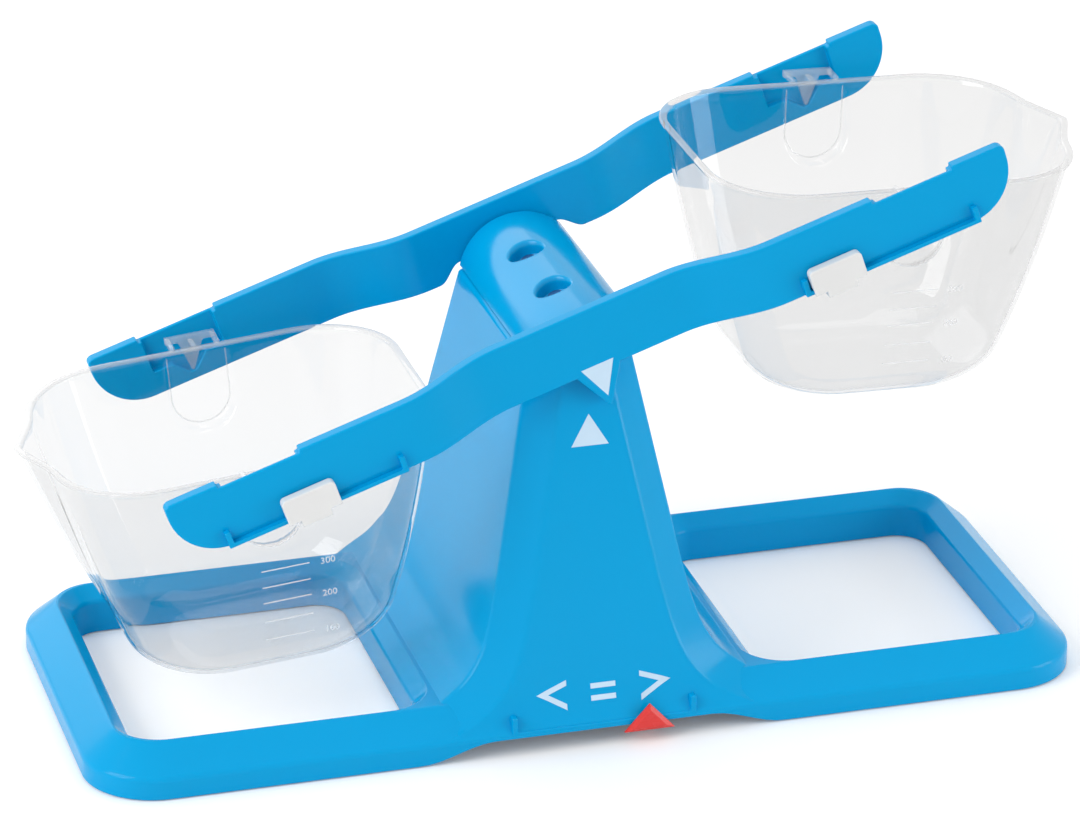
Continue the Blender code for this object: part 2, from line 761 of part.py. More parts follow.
def build_buckets(shade, beam):
    shells = {}
    for word, end, tilt in (("left", -1, left_bucket_tilt_degrees), ("right", 1, right_bucket_tilt_degrees)):
        hanger = bpy.data.objects.new(word + "_bucket_hanger", None)
        parts.objects.link(hanger)
        hanger.parent = beam
        hanger.location = (end * bucket_seat_u, 0.0, -bucket_seat_drop)
        turn = math.radians(tilt) - beam_tilt
        hanger.rotation_euler = (0.0, turn, 0.0)
        facing = 0.0 if end == -1 else math.pi
        if not shells:
            shells["outer"] = bucket_mesh("bucket", 0.0)
            shells["inner"] = bucket_mesh("bucket_hollow", bucket_wall)
            shells["pad"] = pad_mesh("bucket_pad", 0.0)
            shells["pad_inner"] = pad_mesh("bucket_pad_hollow", bucket_wall)
            shells["hooks"] = hook_meshes("front", -1) + hook_meshes("back", 1)
        bucket = add_part(word + "_bucket", shells["outer"], shade, hanger)
        tools = [("pad", shells["pad"], "UNION"), ("hollow", shells["inner"], "DIFFERENCE"),
                 ("pad_hollow", shells["pad_inner"], "DIFFERENCE")]
        tools += [("hook_%d" % i, mesh, "UNION") for i, mesh in enumerate(shells["hooks"])]
        bucket.rotation_euler = (0.0, 0.0, facing)
        for kind, mesh, operation in tools:
            tool = add_cutter(word + "_bucket_" + kind, mesh, hanger)
            tool.rotation_euler = (0.0, 0.0, facing)
            boolean(bucket, tool, operation)


clear_scene()
parts = make_collection("nesting_bucket_balance")
cutters = make_collection("cutters")

blue = plastic("blue_plastic", (0.0, 0.32, 0.69), 0.25)
white = plastic("white_plastic", (0.79, 0.79, 0.79), 0.35)
red = plastic("red_plastic", (0.76, 0.05, 0.045), 0.35)
clear = plastic("clear_plastic", (0.86, 0.92, 0.96), 0.12, alpha=0.35)
steel = plastic("zinc_steel", (0.6, 0.6, 0.62), 0.3, metallic=1.0)

beam_axis = bpy.data.objects.new("beam_axis", None)
parts.objects.link(beam_axis)
beam_axis.location = (0.0, 0.0, pivot_height)
beam_axis.rotation_euler = (0.0, beam_tilt, 0.0)

build_base(blue)
well_seat = build_hub(blue, beam_axis)
build_hub_screws(steel, beam_axis, well_seat)
build_fulcrum_bar(white, beam_axis)
build_arms(blue, beam_axis)
build_compensators(white, beam_axis)
build_marker(red)
build_buckets(clear, beam_axis)

bpy.context.view_layer.update()
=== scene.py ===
import json
from math import radians, pi, sin, cos, sqrt, exp
import bpy
from mathutils import Matrix, Vector


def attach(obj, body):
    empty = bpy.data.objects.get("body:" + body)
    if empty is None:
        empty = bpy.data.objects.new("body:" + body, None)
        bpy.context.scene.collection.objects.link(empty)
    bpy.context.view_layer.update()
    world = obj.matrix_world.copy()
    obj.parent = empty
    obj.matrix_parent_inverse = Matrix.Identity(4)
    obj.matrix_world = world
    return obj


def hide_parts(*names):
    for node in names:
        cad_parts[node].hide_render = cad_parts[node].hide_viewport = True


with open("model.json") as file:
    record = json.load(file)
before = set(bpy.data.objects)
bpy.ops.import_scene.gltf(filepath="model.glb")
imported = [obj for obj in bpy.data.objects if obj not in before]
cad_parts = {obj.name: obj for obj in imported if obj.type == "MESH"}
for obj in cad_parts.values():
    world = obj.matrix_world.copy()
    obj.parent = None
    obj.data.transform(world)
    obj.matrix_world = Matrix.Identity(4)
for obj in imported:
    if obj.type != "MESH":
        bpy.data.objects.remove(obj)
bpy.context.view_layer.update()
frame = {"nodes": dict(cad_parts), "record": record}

bodies = frame["record"]["behaviour"]["bodies"]

# everything is in metres: X along the beam, the front is -Y, the floor is z = 0
pivotHeight = 0.1404
beamTilt = -18.8
beamFrame = Matrix.Translation((0.0, 0.0, pivotHeight)) @ Matrix.Rotation(radians(beamTilt), 4, "Y")
nearly = 0.0001  # two places closer than this count as one


# small helpers

def bodyOf(node):
    for body, members in bodies.items():
        if node in members:
            return body


def clearSelection():
    bpy.ops.object.select_all(action="DESELECT")


def pick(objects):
    clearSelection()
    for item in objects:
        item.select_set(True)
    bpy.context.view_layer.objects.active = objects[0]


def editMode(item):
    pick([item])
    bpy.ops.object.mode_set(mode="EDIT")


def objectMode():
    bpy.ops.object.mode_set(mode="OBJECT")


def selectNothing(mesh):
    for group in (mesh.polygons, mesh.edges, mesh.vertices):
        for element in group:
            element.select = False


def selectFaces(item, wanted):
    # faces are chosen by place in object mode, then edit mode takes over
    objectMode()
    mesh = item.data
    selectNothing(mesh)
    for face in mesh.polygons:
        face.select = wanted(face)
        if face.select:
            for index in face.vertices:
                mesh.vertices[index].select = True
    editMode(item)
    bpy.ops.mesh.select_mode(type="FACE")


def applyAll(item):
    pick([item])
    for modifier in list(item.modifiers):
        bpy.ops.object.modifier_apply(modifier=modifier.name)


def applyPlace(item):
    pick([item])
    bpy.ops.object.transform_apply(location=True, rotation=True, scale=True)


def placeBy(item, matrix):
    item.matrix_world = matrix @ item.matrix_world
    applyPlace(item)
    return item


def joinPieces(pieces, name):
    pick(pieces)
    if len(pieces) > 1:
        bpy.ops.object.join()
    whole = bpy.context.active_object
    whole.name = name
    whole.data.name = name
    return whole


def copyOf(item, name):
    twin = item.copy()
    twin.data = item.data.copy()
    twin.name = name
    bpy.context.scene.collection.objects.link(twin)
    return twin


def cutWith(piece, cutter):
    step = piece.modifiers.new("shaping", "BOOLEAN")
    step.object = cutter
    step.operation = "DIFFERENCE"
    step.solver = "EXACT"
    applyAll(piece)
    bpy.data.objects.remove(cutter, do_unlink=True)


def smoothFaces(piece, angle):
    # flat faces stay flat up to their rounded edges
    pick([piece])
    bpy.ops.object.shade_smooth_by_angle(angle=radians(angle))
    weighting = piece.modifiers.new("weighting", "WEIGHTED_NORMAL")
    weighting.keep_sharp = True
    applyAll(piece)
    return piece


def bevelCorners(piece, width, segments, angle):
    rounding = piece.modifiers.new("rounding", "BEVEL")
    rounding.width = width
    rounding.segments = segments
    rounding.limit_method = "ANGLE"
    rounding.angle_limit = radians(angle)
    rounding.use_clamp_overlap = False
    rounding.miter_outer = "MITER_ARC"
    applyAll(piece)


def roundEdges(piece, width, segments=3, angle=35):
    bevelCorners(piece, width, segments, angle)
    return smoothFaces(piece, angle)


def bevelEdges(piece, wanted, width, segments):
    # rounds only the edges whose two ends pass the test
    objectMode()
    mesh = piece.data
    selectNothing(mesh)
    for edge in mesh.edges:
        a, b = (mesh.vertices[i].co for i in edge.vertices)
        edge.select = wanted(a, b)
        if edge.select:
            for i in edge.vertices:
                mesh.vertices[i].select = True
    bpy.context.tool_settings.mesh_select_mode = (False, True, False)
    editMode(piece)
    bpy.ops.mesh.bevel(offset=width, segments=segments, affect="EDGES")
    objectMode()
    bpy.context.tool_settings.mesh_select_mode = (True, False, False)


def putOn(item, body, material):
    item.data.materials.clear()
    item.data.materials.append(material)
    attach(item, body)


def skinRings(name, rings, loop=False, sharp=50):
    # a grid bent so that each row of points lies on its own closed ring
    around = len(rings[0])
    rows = len(rings) if loop else len(rings) - 1
    clearSelection()
    bpy.ops.mesh.primitive_grid_add(x_subdivisions=around, y_subdivisions=rows, size=2)
    piece = bpy.context.active_object
    piece.name = name
    for point in piece.data.vertices:
        across = round((point.co.x + 1) / 2 * around) % around
        row = round((point.co.y + 1) / 2 * rows) % len(rings)
        point.co = rings[row][across]
    editMode(piece)
    bpy.ops.mesh.select_all(action="SELECT")
    bpy.ops.mesh.remove_doubles(threshold=0.000008)
    bpy.ops.mesh.normals_make_consistent(inside=False)
    objectMode()
    bpy.ops.object.shade_smooth_by_angle(angle=radians(sharp))
    return piece


def strokeMark(name, points, half, onFace, lift=0.00010, sink=0.00015):
    # a flat stroke along a line of points; onFace gives the place on the face it lies on
    corners = [Vector(point) for point in points]
    path = [corners[0]]
    for start, end in zip(corners, corners[1:]):
        path += [start.lerp(end, step / 6) for step in range(1, 7)]
    rings = []
    for i, place in enumerate(path):
        ahead = (path[min(i + 1, len(path) - 1)] - path[max(i - 1, 0)]).normalized()
        across = Vector((-ahead.y, ahead.x)) * half
        if 0 < i < len(path) - 1:
            across /= cos((path[i + 1] - place).angle(place - path[i - 1]) / 2)
        elif abs(ahead.x) > 0.5:
            across = Vector((0, half / ahead.x))
        left, right = place + across, place - across
        rings.append([onFace(*left, lift), onFace(*right, lift),
                      onFace(*right, -sink), onFace(*left, -sink)])
    for ring in (rings[0], rings[-1]):
        middle = [sum(point[k] for point in ring) / 4 for k in range(3)]
        rings.insert(0 if ring is rings[0] else len(rings), [middle] * 4)
    return skinRings(name, rings, sharp=30)


def easeCorners(points, cuts, steps=4, hold=0.00015):
    # every corner of a closed outline becomes a short curve between two straight holds
    outline = []
    for i, corner in enumerate(points):
        corner = Vector(corner)
        before = Vector(points[i - 1]) - corner
        after = Vector(points[(i + 1) % len(points)]) - corner
        cut = cuts[i] if isinstance(cuts[i], tuple) else (cuts[i], cuts[i])
        start = corner + before.normalized() * cut[0]
        end = corner + after.normalized() * cut[1]
        outline.append(start + before.normalized() * hold)
        for step in range(steps + 1):
            share = step / steps
            outline.append(start * (1 - share) ** 2 + corner * (2 * share * (1 - share)) + end * share ** 2)
        outline.append(end + after.normalized() * hold)
    return outline


def cutOut(name, outline, near, far, plane="XZ"):
    # a flat outline on the XZ or YZ plane pulled out to its thickness
    clearSelection()
    bpy.ops.mesh.primitive_circle_add(vertices=len(outline), radius=1, fill_type="NGON")
    piece = bpy.context.active_object
    piece.name = name
    for point, (across, up) in zip(piece.data.vertices, outline):
        point.co = (across, near, up) if plane == "XZ" else (near, across, up)
    reach = (0, far - near, 0) if plane == "XZ" else (far - near, 0, 0)
    editMode(piece)
    bpy.ops.mesh.select_all(action="SELECT")
    bpy.ops.mesh.extrude_region_move(TRANSFORM_OT_translate={"value": reach})
    bpy.ops.mesh.select_all(action="SELECT")
    bpy.ops.mesh.normals_make_consistent(inside=False)
    objectMode()
    return piece


def block(name, low, high, cornerRadius=0.0, turns=10):
    # a cuboid between two corners, with its upright edges rounded
    middle = [(a + b) / 2 for a, b in zip(low, high)]
    clearSelection()
    bpy.ops.mesh.primitive_cube_add(size=1, location=middle)
    piece = bpy.context.active_object
    piece.name = name
    piece.scale = [b - a for a, b in zip(low, high)]
    applyPlace(piece)
    if cornerRadius:
        bevelEdges(piece, lambda a, b: abs(a.z - b.z) > abs(a.x - b.x) + abs(a.y - b.y), cornerRadius, turns)
    return piece


def loopStations(halfX, halfY, radius, alongX, alongY, turns, centreX=0.0):
    # points round a rounded rectangle, each with its outward direction
    corners = []
    for quarter in range(4):
        sideX = 1 if quarter in (0, 3) else -1
        sideY = 1 if quarter in (0, 1) else -1
        arc = []
        for step in range(turns + 1):
            turn = pi / 2 * (quarter + step / turns)
            out = Vector((cos(turn), sin(turn)))
            middle = Vector((centreX + sideX * (halfX - radius), sideY * (halfY - radius)))
            arc.append((middle + out * radius, out))
        corners.append(arc)
    stations = []
    for quarter in range(4):
        stations += corners[quarter]
        run = alongX if quarter in (0, 2) else alongY
        start, out = corners[quarter][-1]
        end = corners[(quarter + 1) % 4][0][0]
        stations += [(start.lerp(end, step / run), out) for step in range(1, run)]
    return stations


# materials

def startMaterial(name):
    material = bpy.data.materials.new(name)
    material.use_nodes = True
    tree = material.node_tree
    return material, tree, tree.nodes["Principled BSDF"]


def setInputs(node, values):
    for name, value in values.items():
        node.inputs[name].default_value = value


def noiseNode(tree, scale, detail, stretch=(1, 1, 1)):
    place = tree.nodes.new("ShaderNodeTexCoord")
    mapping = tree.nodes.new("ShaderNodeMapping")
    setInputs(mapping, {"Scale": stretch})
    noise = tree.nodes.new("ShaderNodeTexNoise")
    setInputs(noise, {"Scale": scale, "Detail": detail})
    tree.links.new(place.outputs["Object"], mapping.inputs["Vector"])
    tree.links.new(mapping.outputs["Vector"], noise.inputs["Vector"])
    return noise


def rangeNode(tree, source, low, high, start=0.3, end=0.7):
    # from low at the start to high at the end; the usual ends are those of a noise
    spread = tree.nodes.new("ShaderNodeMapRange")
    setInputs(spread, {"From Min": start, "From Max": end, "To Min": low, "To Max": high})
    tree.links.new(source, spread.inputs["Value"])
    return spread.outputs["Result"]


def mathNode(tree, operation, *sources):
    node = tree.nodes.new("ShaderNodeMath")
    node.operation = operation
    for source, socket in zip(sources, node.inputs):
        tree.links.new(source, socket)
    return node.outputs["Value"]


def bumpNode(tree, shader, source, strength, distance):
    bump = tree.nodes.new("ShaderNodeBump")
    setInputs(bump, {"Strength": strength, "Distance": distance})
    tree.links.new(source, bump.inputs["Height"])
    tree.links.new(bump.outputs["Normal"], shader.inputs["Normal"])


def colourMix(tree, factor, dark, light):
    mix = tree.nodes.new("ShaderNodeMix")
    mix.data_type = "RGBA"
    setInputs(mix, {"A": (*dark, 1), "B": (*light, 1)})
    tree.links.new(factor, mix.inputs["Factor"])
    return mix.outputs["Result"]


def mouldedPlastic(name, look):
    # slow drift of colour, rubbed gloss and a very fine moulded grain
    material, tree, shader = startMaterial(name)
    drift = noiseNode(tree, look["driftScale"], 3)
    dark = [c * look["driftDark"] for c in look["colour"]]
    tree.links.new(colourMix(tree, rangeNode(tree, drift.outputs["Fac"], 0, 1), dark, look["colour"]),
                   shader.inputs["Base Color"])
    rubbed = noiseNode(tree, look["rubScale"], 6, (1, 1, 3))
    tree.links.new(rangeNode(tree, rubbed.outputs["Fac"], look["gloss"][0], look["gloss"][1]),
                   shader.inputs["Roughness"])
    grain = noiseNode(tree, look["grainScale"], 2)
    bumpNode(tree, shader, grain.outputs["Fac"], look["grain"], distance=0.0001)
    setInputs(shader, {"IOR": 1.5, "Specular IOR Level": look["shine"], "Alpha": look.get("cover", 1)})
    return material


blueLook = {"colour": (0.0, 0.335, 0.67), "driftScale": 9, "driftDark": 0.97, "rubScale": 60,
            "gloss": (0.12, 0.18), "grainScale": 1500, "grain": 0.04, "shine": 0.13}
whiteLook = {"colour": (0.74, 0.74, 0.735), "driftScale": 40, "driftDark": 0.97, "rubScale": 120,
             "gloss": (0.30, 0.42), "grainScale": 1800, "grain": 0.08, "shine": 0.4}
redLook = {"colour": (0.74, 0.05, 0.045), "driftScale": 60, "driftDark": 0.95, "rubScale": 150,
           "gloss": (0.22, 0.32), "grainScale": 1800, "grain": 0.06, "shine": 0.25}
inkLook = {"colour": (0.56, 0.73, 0.88), "driftScale": 90, "driftDark": 0.95, "rubScale": 200,
           "gloss": (0.4, 0.55), "grainScale": 2500, "grain": 0.1, "shine": 0.3}
frostLook = {"colour": (0.97, 0.97, 0.97), "driftScale": 90, "driftDark": 0.96, "rubScale": 300,
             "gloss": (0.5, 0.65), "grainScale": 3000, "grain": 0.12, "shine": 0.3, "cover": 0.5}
blue = mouldedPlastic("gloss blue plastic", blueLook)
hubBlue = mouldedPlastic("polished blue plastic", {**blueLook, "shine": 0.24})
armBlue = mouldedPlastic("soft gloss blue plastic", {**blueLook, "shine": 0.09})
white = mouldedPlastic("satin white plastic", whiteLook)
red = mouldedPlastic("satin red plastic", redLook)
paleInk = mouldedPlastic("pale blue ink", inkLook)
frostInk = mouldedPlastic("frosted scale ink", frostLook)


def clearPlastic(name, look):
    # thin clear walls that hardly bend the light
    material, tree, shader = startMaterial(name)
    drift = noiseNode(tree, look["hazeScale"] / 3, 2)
    # the rim's marked points get a darker tint: painted shade for the grey line along the lip, partly also
    # the thicker lip's own greyer look
    rim = tree.nodes.new("ShaderNodeAttribute")
    rim.attribute_name = "rimPaintedShade"
    shaded = colourMix(tree, rim.outputs["Fac"], look["tint"], look["lipPaintedShadeTint"])
    drifting = colourMix(tree, rangeNode(tree, drift.outputs["Fac"], 0, 1), look["tintDark"], look["tint"])
    tree.links.new(drifting, shaded.node.inputs["A"])
    tree.links.new(shaded, shader.inputs["Base Color"])
    setInputs(shader, {"Transmission Weight": look["clear"], "IOR": look["ior"], "Coat IOR": 1.5,
                       "Coat Roughness": 0.04})
    # a less clear, whiter rim there: painted highlight for the light line the lip's edge shows
    if look["rimClear"] < look["clear"]:
        clearness = rangeNode(tree, rim.outputs["Fac"], look["clear"], look["rimClear"], 0, 1)
        tree.links.new(clearness, shader.inputs["Transmission Weight"])
    haze = noiseNode(tree, look["hazeScale"], 4)
    tree.links.new(rangeNode(tree, haze.outputs["Fac"], look["haze"][0], look["haze"][1]),
                   shader.inputs["Roughness"])
    flow = noiseNode(tree, look["flowScale"], 2, (1, 1, 0.3))
    bumpNode(tree, shader, flow.outputs["Fac"], look["flow"], distance=0.001)
    # the gloss lies on the air side of a wall only
    side = tree.nodes.new("ShaderNodeNewGeometry")
    gloss = rangeNode(tree, side.outputs["Backfacing"], look["coat"], 0, 0, 1)
    tree.links.new(gloss, shader.inputs["Coat Weight"])
    return material


# the rim's darker tint is painted shade, and its lower clearness is a painted highlight along the lip
clearLook = {"tint": (0.89, 0.888, 0.886), "tintDark": (0.875, 0.875, 0.875),
             "lipPaintedShadeTint": (0.76, 0.76, 0.76), "clear": 1, "rimClear": 0.7, "ior": 1.012, "hazeScale": 50,
             "haze": (0.02, 0.06), "flowScale": 24, "flow": 0.04, "coat": 0.75}
# the hooks' whiter, less clear tint is painted highlight: it stands in for the light lines along their edges
hookHighlightLook = {**clearLook, "tint": (0.96, 0.96, 0.96), "tintDark": (0.95, 0.95, 0.95), "clear": 0.85,
             "rimClear": 0.85}
clear = clearPlastic("clear bucket plastic", clearLook)
hookHighlightPlastic = clearPlastic("clear hook plastic with painted highlight", hookHighlightLook)


def wellShadedSteel(name, look):
    material, tree, shader = startMaterial(name)
    setInputs(shader, {"Metallic": 1, "Base Color": (*look["colour"], 1)})
    rubbed = noiseNode(tree, look["rubScale"], 4)
    tree.links.new(rangeNode(tree, rubbed.outputs["Fac"], look["gloss"][0], look["gloss"][1]),
                   shader.inputs["Roughness"])
    bumpNode(tree, shader, rubbed.outputs["Fac"], look["grain"], distance=0.0002)
    return material


# steel screws, coloured dark blue as painted shade: they sit at the bottom of the hub's deep wells
wellShadeSteelLook = {"colour": (0.015, 0.10, 0.26), "rubScale": 900, "gloss": (0.25, 0.45), "grain": 0.1}
steel = wellShadedSteel("dark blue steel in painted well shade", wellShadeSteelLook)
print("materials made")


# the base: outer frame, two opening frames, tower, ledge and seats

base = {"halfX": 0.180, "halfY": 0.0755, "corner": 0.026, "skirt": 0.0076, "crest": 0.0171,
        "inset": 0.0112, "flat": 0.00025, "wall": 0.0022, "edge": 0.0013, "foot": 0.00035,
        "crestEdge": 0.0016, "innerCrest": 0.01443, "innerSkirt": 0.00658, "innerEdge": 0.0003,
        "skirtEdge": 0.0001, "seam": 0.00001, "hold": 0.00002, "steps": 4}
crest = {"low": 0.0149, "cutLow": 0.01, "cutTop": 0.02, "towerX": 0.052, "towerY": 0.060, "steps": 14}
arch = {"height": 0.0060, "half": 0.0660, "flat": 0.0390}
opening = {"near": 0.0625, "far": 0.1629, "halfY": 0.0584, "corner": 0.0115, "wallTop": 0.0122,
           "flare": 0.0054, "innerCrest": 0.01436, "innerWall": 0.01123}


def archHeight(place, out):
    if abs(out.y) < 0.99:
        return 0.0
    share = min(max((arch["half"] - abs(place.x)) / (arch["half"] - arch["flat"]), 0), 1)
    return arch["height"] * (1 - cos(pi * share)) / 2


def slopeFrame(name, stations, profile, side):
    # one section carried round a closed path; side is -1 inwards, 1 outwards
    rings = []
    for place, out in stations:
        section = profile(place, out)
        rings.append([(place.x + side * out.x * away, place.y + side * out.y * away, z)
                      for away, z in section])
    return skinRings(name, rings, loop=True)


def outerProfile(place, out):
    low = archHeight(place, out)
    top = base["inset"] + base["flat"]
    points = [(0, low), (0, base["skirt"]), (base["inset"], base["crest"]), (top, base["crest"]),
              (top, base["innerCrest"]), (base["wall"], base["innerSkirt"]), (base["wall"], low)]
    edge = min(base["edge"], (base["skirt"] - low) * 0.7)
    cuts = [base["foot"], (edge, base["edge"]), (base["crestEdge"], base["flat"] * 0.9), base["seam"],
            base["innerEdge"], base["skirtEdge"], base["foot"] * 0.4]
    return easeCorners(points, cuts, base["steps"], base["hold"])


def openingProfile(place, out):
    top = opening["flare"] + base["flat"]
    points = [(0, 0), (0, opening["wallTop"]), (opening["flare"], base["crest"]), (top, base["crest"]),
              (top, opening["innerCrest"]), (base["wall"], opening["innerWall"]), (base["wall"], 0)]
    cuts = [base["foot"], base["edge"], (base["crestEdge"], base["flat"] * 0.9), base["seam"],
            base["innerEdge"], base["innerEdge"], base["foot"]]
    return easeCorners(points, cuts, base["steps"], base["hold"])


outerLoop = loopStations(base["halfX"], base["halfY"], base["corner"], alongX=78, alongY=12, turns=16)
basePieces = [slopeFrame("outerFrame", outerLoop, outerProfile, -1)]
openingHalf = (opening["far"] - opening["near"]) / 2
openingMiddle = (opening["far"] + opening["near"]) / 2
for end in (-1, 1):
    around = loopStations(openingHalf, opening["halfY"], opening["corner"], alongX=10, alongY=10, turns=14,
                          centreX=end * openingMiddle)
    basePieces.append(slopeFrame("openingFrame", around, openingProfile, 1))

# the flat of the crest, wider where the two frames' corners part
crestInset = base["inset"] + base["flat"]
crestPlate = block("crestPlate", (crestInset - base["halfX"], crestInset - base["halfY"], crest["low"]),
                   (base["halfX"] - crestInset, base["halfY"] - crestInset, base["crest"] - base["seam"]),
                   base["corner"] - crestInset, crest["steps"])
reach = opening["flare"] + base["flat"]
for end in (-1, 1):
    lowX, highX = sorted((end * (opening["near"] - reach), end * (opening["far"] + reach)))
    halfY = opening["halfY"] + reach
    gap = block("gapCutter", (lowX, -halfY, crest["cutLow"]), (highX, halfY, crest["cutTop"]),
                opening["corner"] + reach, crest["steps"])
    cutWith(crestPlate, gap)
cutWith(crestPlate, block("towerGap", (-crest["towerX"], -crest["towerY"], crest["cutLow"]),
                          (crest["towerX"], crest["towerY"], crest["cutTop"])))
basePieces.append(crestPlate)

tower = {"height": 0.1320, "topHalf": 0.0076, "taper": 0.197, "spread": 0.0252, "spreadRise": 0.0090,
         "footDepth": 0.0729, "lean": 0.19, "footLean": 0.0024, "footLeanRise": 0.0050, "band": 0.0112,
         "bandDepth": 0.0083, "bandSpread": 0.0062, "bandRise": 0.0080, "crease": 0.0011,
         "backEdge": 0.0018, "topEdge": 0.0016, "topFlat": 0.0003, "topGap": 0.002, "tuck": 0.0007,
         "clear": 0.0006, "lowWall": 0.0064, "lowRim": 0.0062, "lowEdge": 0.0002, "rows": 34}


def faceHalf(z):
    return tower["topHalf"] + tower["taper"] * (tower["height"] - z) \
        + tower["spread"] * exp(-(z - base["skirt"]) / tower["spreadRise"])


def towerDepth(z):
    return tower["footDepth"] - tower["lean"] * (z - base["skirt"]) \
        + tower["footLean"] * exp(-(z - base["skirt"]) / tower["footLeanRise"])


def towerHalf(z):
    if z >= base["crest"]:
        spread = tower["bandSpread"] * exp(-(z - base["crest"]) / tower["bandRise"])
        return faceHalf(z) + tower["band"] + spread
    fall = base["crest"] - opening["wallTop"]
    return towerHalf(base["crest"]) + opening["flare"] / fall * min(base["crest"] - z, fall) - tower["tuck"]


def towerRing(z, inset=0.0):
    level = max(z, base["skirt"])
    side = min(towerHalf(level), opening["near"] - tower["clear"]) - inset
    face = min(faceHalf(level) - inset * 0.6, side - tower["band"] / 4)
    deep = towerDepth(level) - inset
    near = deep - tower["bandDepth"]
    corners = [(side, deep), (-side, deep), (-side, -near), (-face, -deep), (face, -deep), (side, -near)]
    cuts = [tower["backEdge"]] * 2 + [tower["crease"]] * 4
    return [(x, y, z) for x, y in easeCorners(corners, cuts, 5)]


# the shell's rings lie closer together near the foot, where it flares
climb = tower["height"] - tower["topEdge"] - tower["topFlat"] - base["skirt"]
levels = [base["skirt"] + (row / tower["rows"]) ** 1.8 * climb for row in range(tower["rows"] + 1)]
innerTop = tower["height"] - base["wall"]
count = len(towerRing(innerTop))
towerRings = [[(0, 0, innerTop)] * count, towerRing(innerTop, base["wall"] * 3),
              towerRing(innerTop, base["wall"])]
towerRings += [towerRing(z, base["wall"]) for z in reversed(levels[::3]) if z < innerTop - tower["topGap"]]
towerRings += [towerRing(tower["lowWall"], base["wall"]), towerRing(tower["lowRim"], base["wall"] * 0.9),
               towerRing(tower["lowRim"], tower["lowEdge"]), towerRing(tower["lowWall"])]
towerRings += [towerRing(z) for z in levels]
for step in range(7):
    turn = pi / 2 * step / 6
    z = tower["height"] - tower["topEdge"] * (1 - sin(turn))
    towerRings.append(towerRing(z, tower["topEdge"] * (1 - cos(turn))))
towerRings += [towerRing(tower["height"], tower["topEdge"] + tower["topFlat"]),
               [(0, 0, tower["height"])] * count]
basePieces.append(skinRings("towerShell", towerRings))

ledge = {"half": 0.0334, "height": 0.0024, "stop": 0.0021, "stopTop": 0.0140, "edge": 0.0006, "sink": 0.0011}
ledgeBack = -towerDepth(ledge["stopTop"]) + ledge["sink"]
ledgeTop = arch["height"] + ledge["height"]
ledgeInner = ledge["half"] - ledge["stop"]
ledgeShape = [(ledge["half"], arch["height"]), (ledge["half"], ledge["stopTop"]),
              (ledgeInner, ledge["stopTop"]), (ledgeInner, ledgeTop)]
ledgeShape = [(-ledge["half"], arch["height"])] + ledgeShape + [(-x, z) for x, z in reversed(ledgeShape[1:])]
basePieces.append(roundEdges(cutOut("ledgeRail", ledgeShape, -base["halfY"], ledgeBack), ledge["edge"]))

seat = {"near": 0.0340, "thick": 0.0045, "half": 0.0055, "head": 0.0028, "slot": 0.0025, "sink": 0.0011,
        "edge": 0.0004, "cutReach": 0.004, "cutRise": 0.01}
for side in (-1, 1):
    nearY, farY = sorted((side * seat["near"], side * (seat["near"] + seat["thick"])))
    post = block("seatPost", (-seat["half"], nearY, tower["height"] - seat["sink"]),
                 (seat["half"], farY, pivotHeight + seat["head"]))
    clearSelection()
    bpy.ops.mesh.primitive_cylinder_add(vertices=40, radius=seat["slot"], depth=seat["cutRise"] * 2,
                                        location=(0, side * seat["near"], pivotHeight),
                                        rotation=(pi / 2, 0, 0))
    cutWith(post, bpy.context.active_object)
    cutWith(post, block("slotCutter", (-seat["slot"], nearY - seat["cutReach"], pivotHeight),
                        (seat["slot"], farY + seat["cutReach"], pivotHeight + seat["cutRise"])))
    basePieces.append(roundEdges(post, seat["edge"], angle=50))

towerAndRings = joinPieces(basePieces, "towerAndRings")
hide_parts("base_tower")
putOn(towerAndRings, bodyOf("base_tower"), blue)
print("base", len(towerAndRings.data.polygons), "faces")


# the hub: an arched shell with two deep wells

hub = {"half": 0.0515, "drop": 0.0017, "crown": 0.0097, "chord": 0.0196, "wall": 0.0020,
       "endWall": 0.0022, "endEdge": 0.0018, "endFlat": 0.0004, "steps": 56, "wellAt": 0.0171,
       "wellSteps": 72, "wellRadius": 0.0058, "rimRadius": 0.0072, "floor": 0.0041, "boss": 0.0026,
       "bossEdge": 0.0003, "bossTuck": 0.0002, "below": 0.003, "cutPlay": 0.0003, "cutDeep": 0.012,
       "cutRise": 0.0110,
       "rimRun": [(0.0007, -0.0006), (0.0006, -0.0001), (0.0003, 0.00004), (0, 0.00001),
                  (-0.0003, -0.00012), (-0.0006, -0.0004), (-0.0009, -0.0008), (-0.0012, -0.0014)],
       "throatRun": [(0.0001, -0.0020), (0, -0.0027)],
       "floorRun": [(-0.00005, 0.0006), (-0.0002, 0.0002), (-0.0006, 0), (-0.0012, 0)]}
rise = hub["crown"] + hub["drop"]
hubRadius = (hub["chord"] ** 2 + rise ** 2) / (2 * rise)
hubCentre = hub["crown"] - hubRadius


def archSection(y, inset, floor):
    radius = hubRadius - inset
    half = sqrt(radius ** 2 - (floor - hubCentre) ** 2)
    start = Vector((half, floor - hubCentre)).angle(Vector((1, 0)))
    points = []
    for step in range(hub["steps"] + 1):
        turn = start + (pi - 2 * start) * step / hub["steps"]
        points.append((radius * cos(turn), y, hubCentre + radius * sin(turn)))
    return points + [(half * (1 - step / 5), y, floor) for step in range(6, 10)]


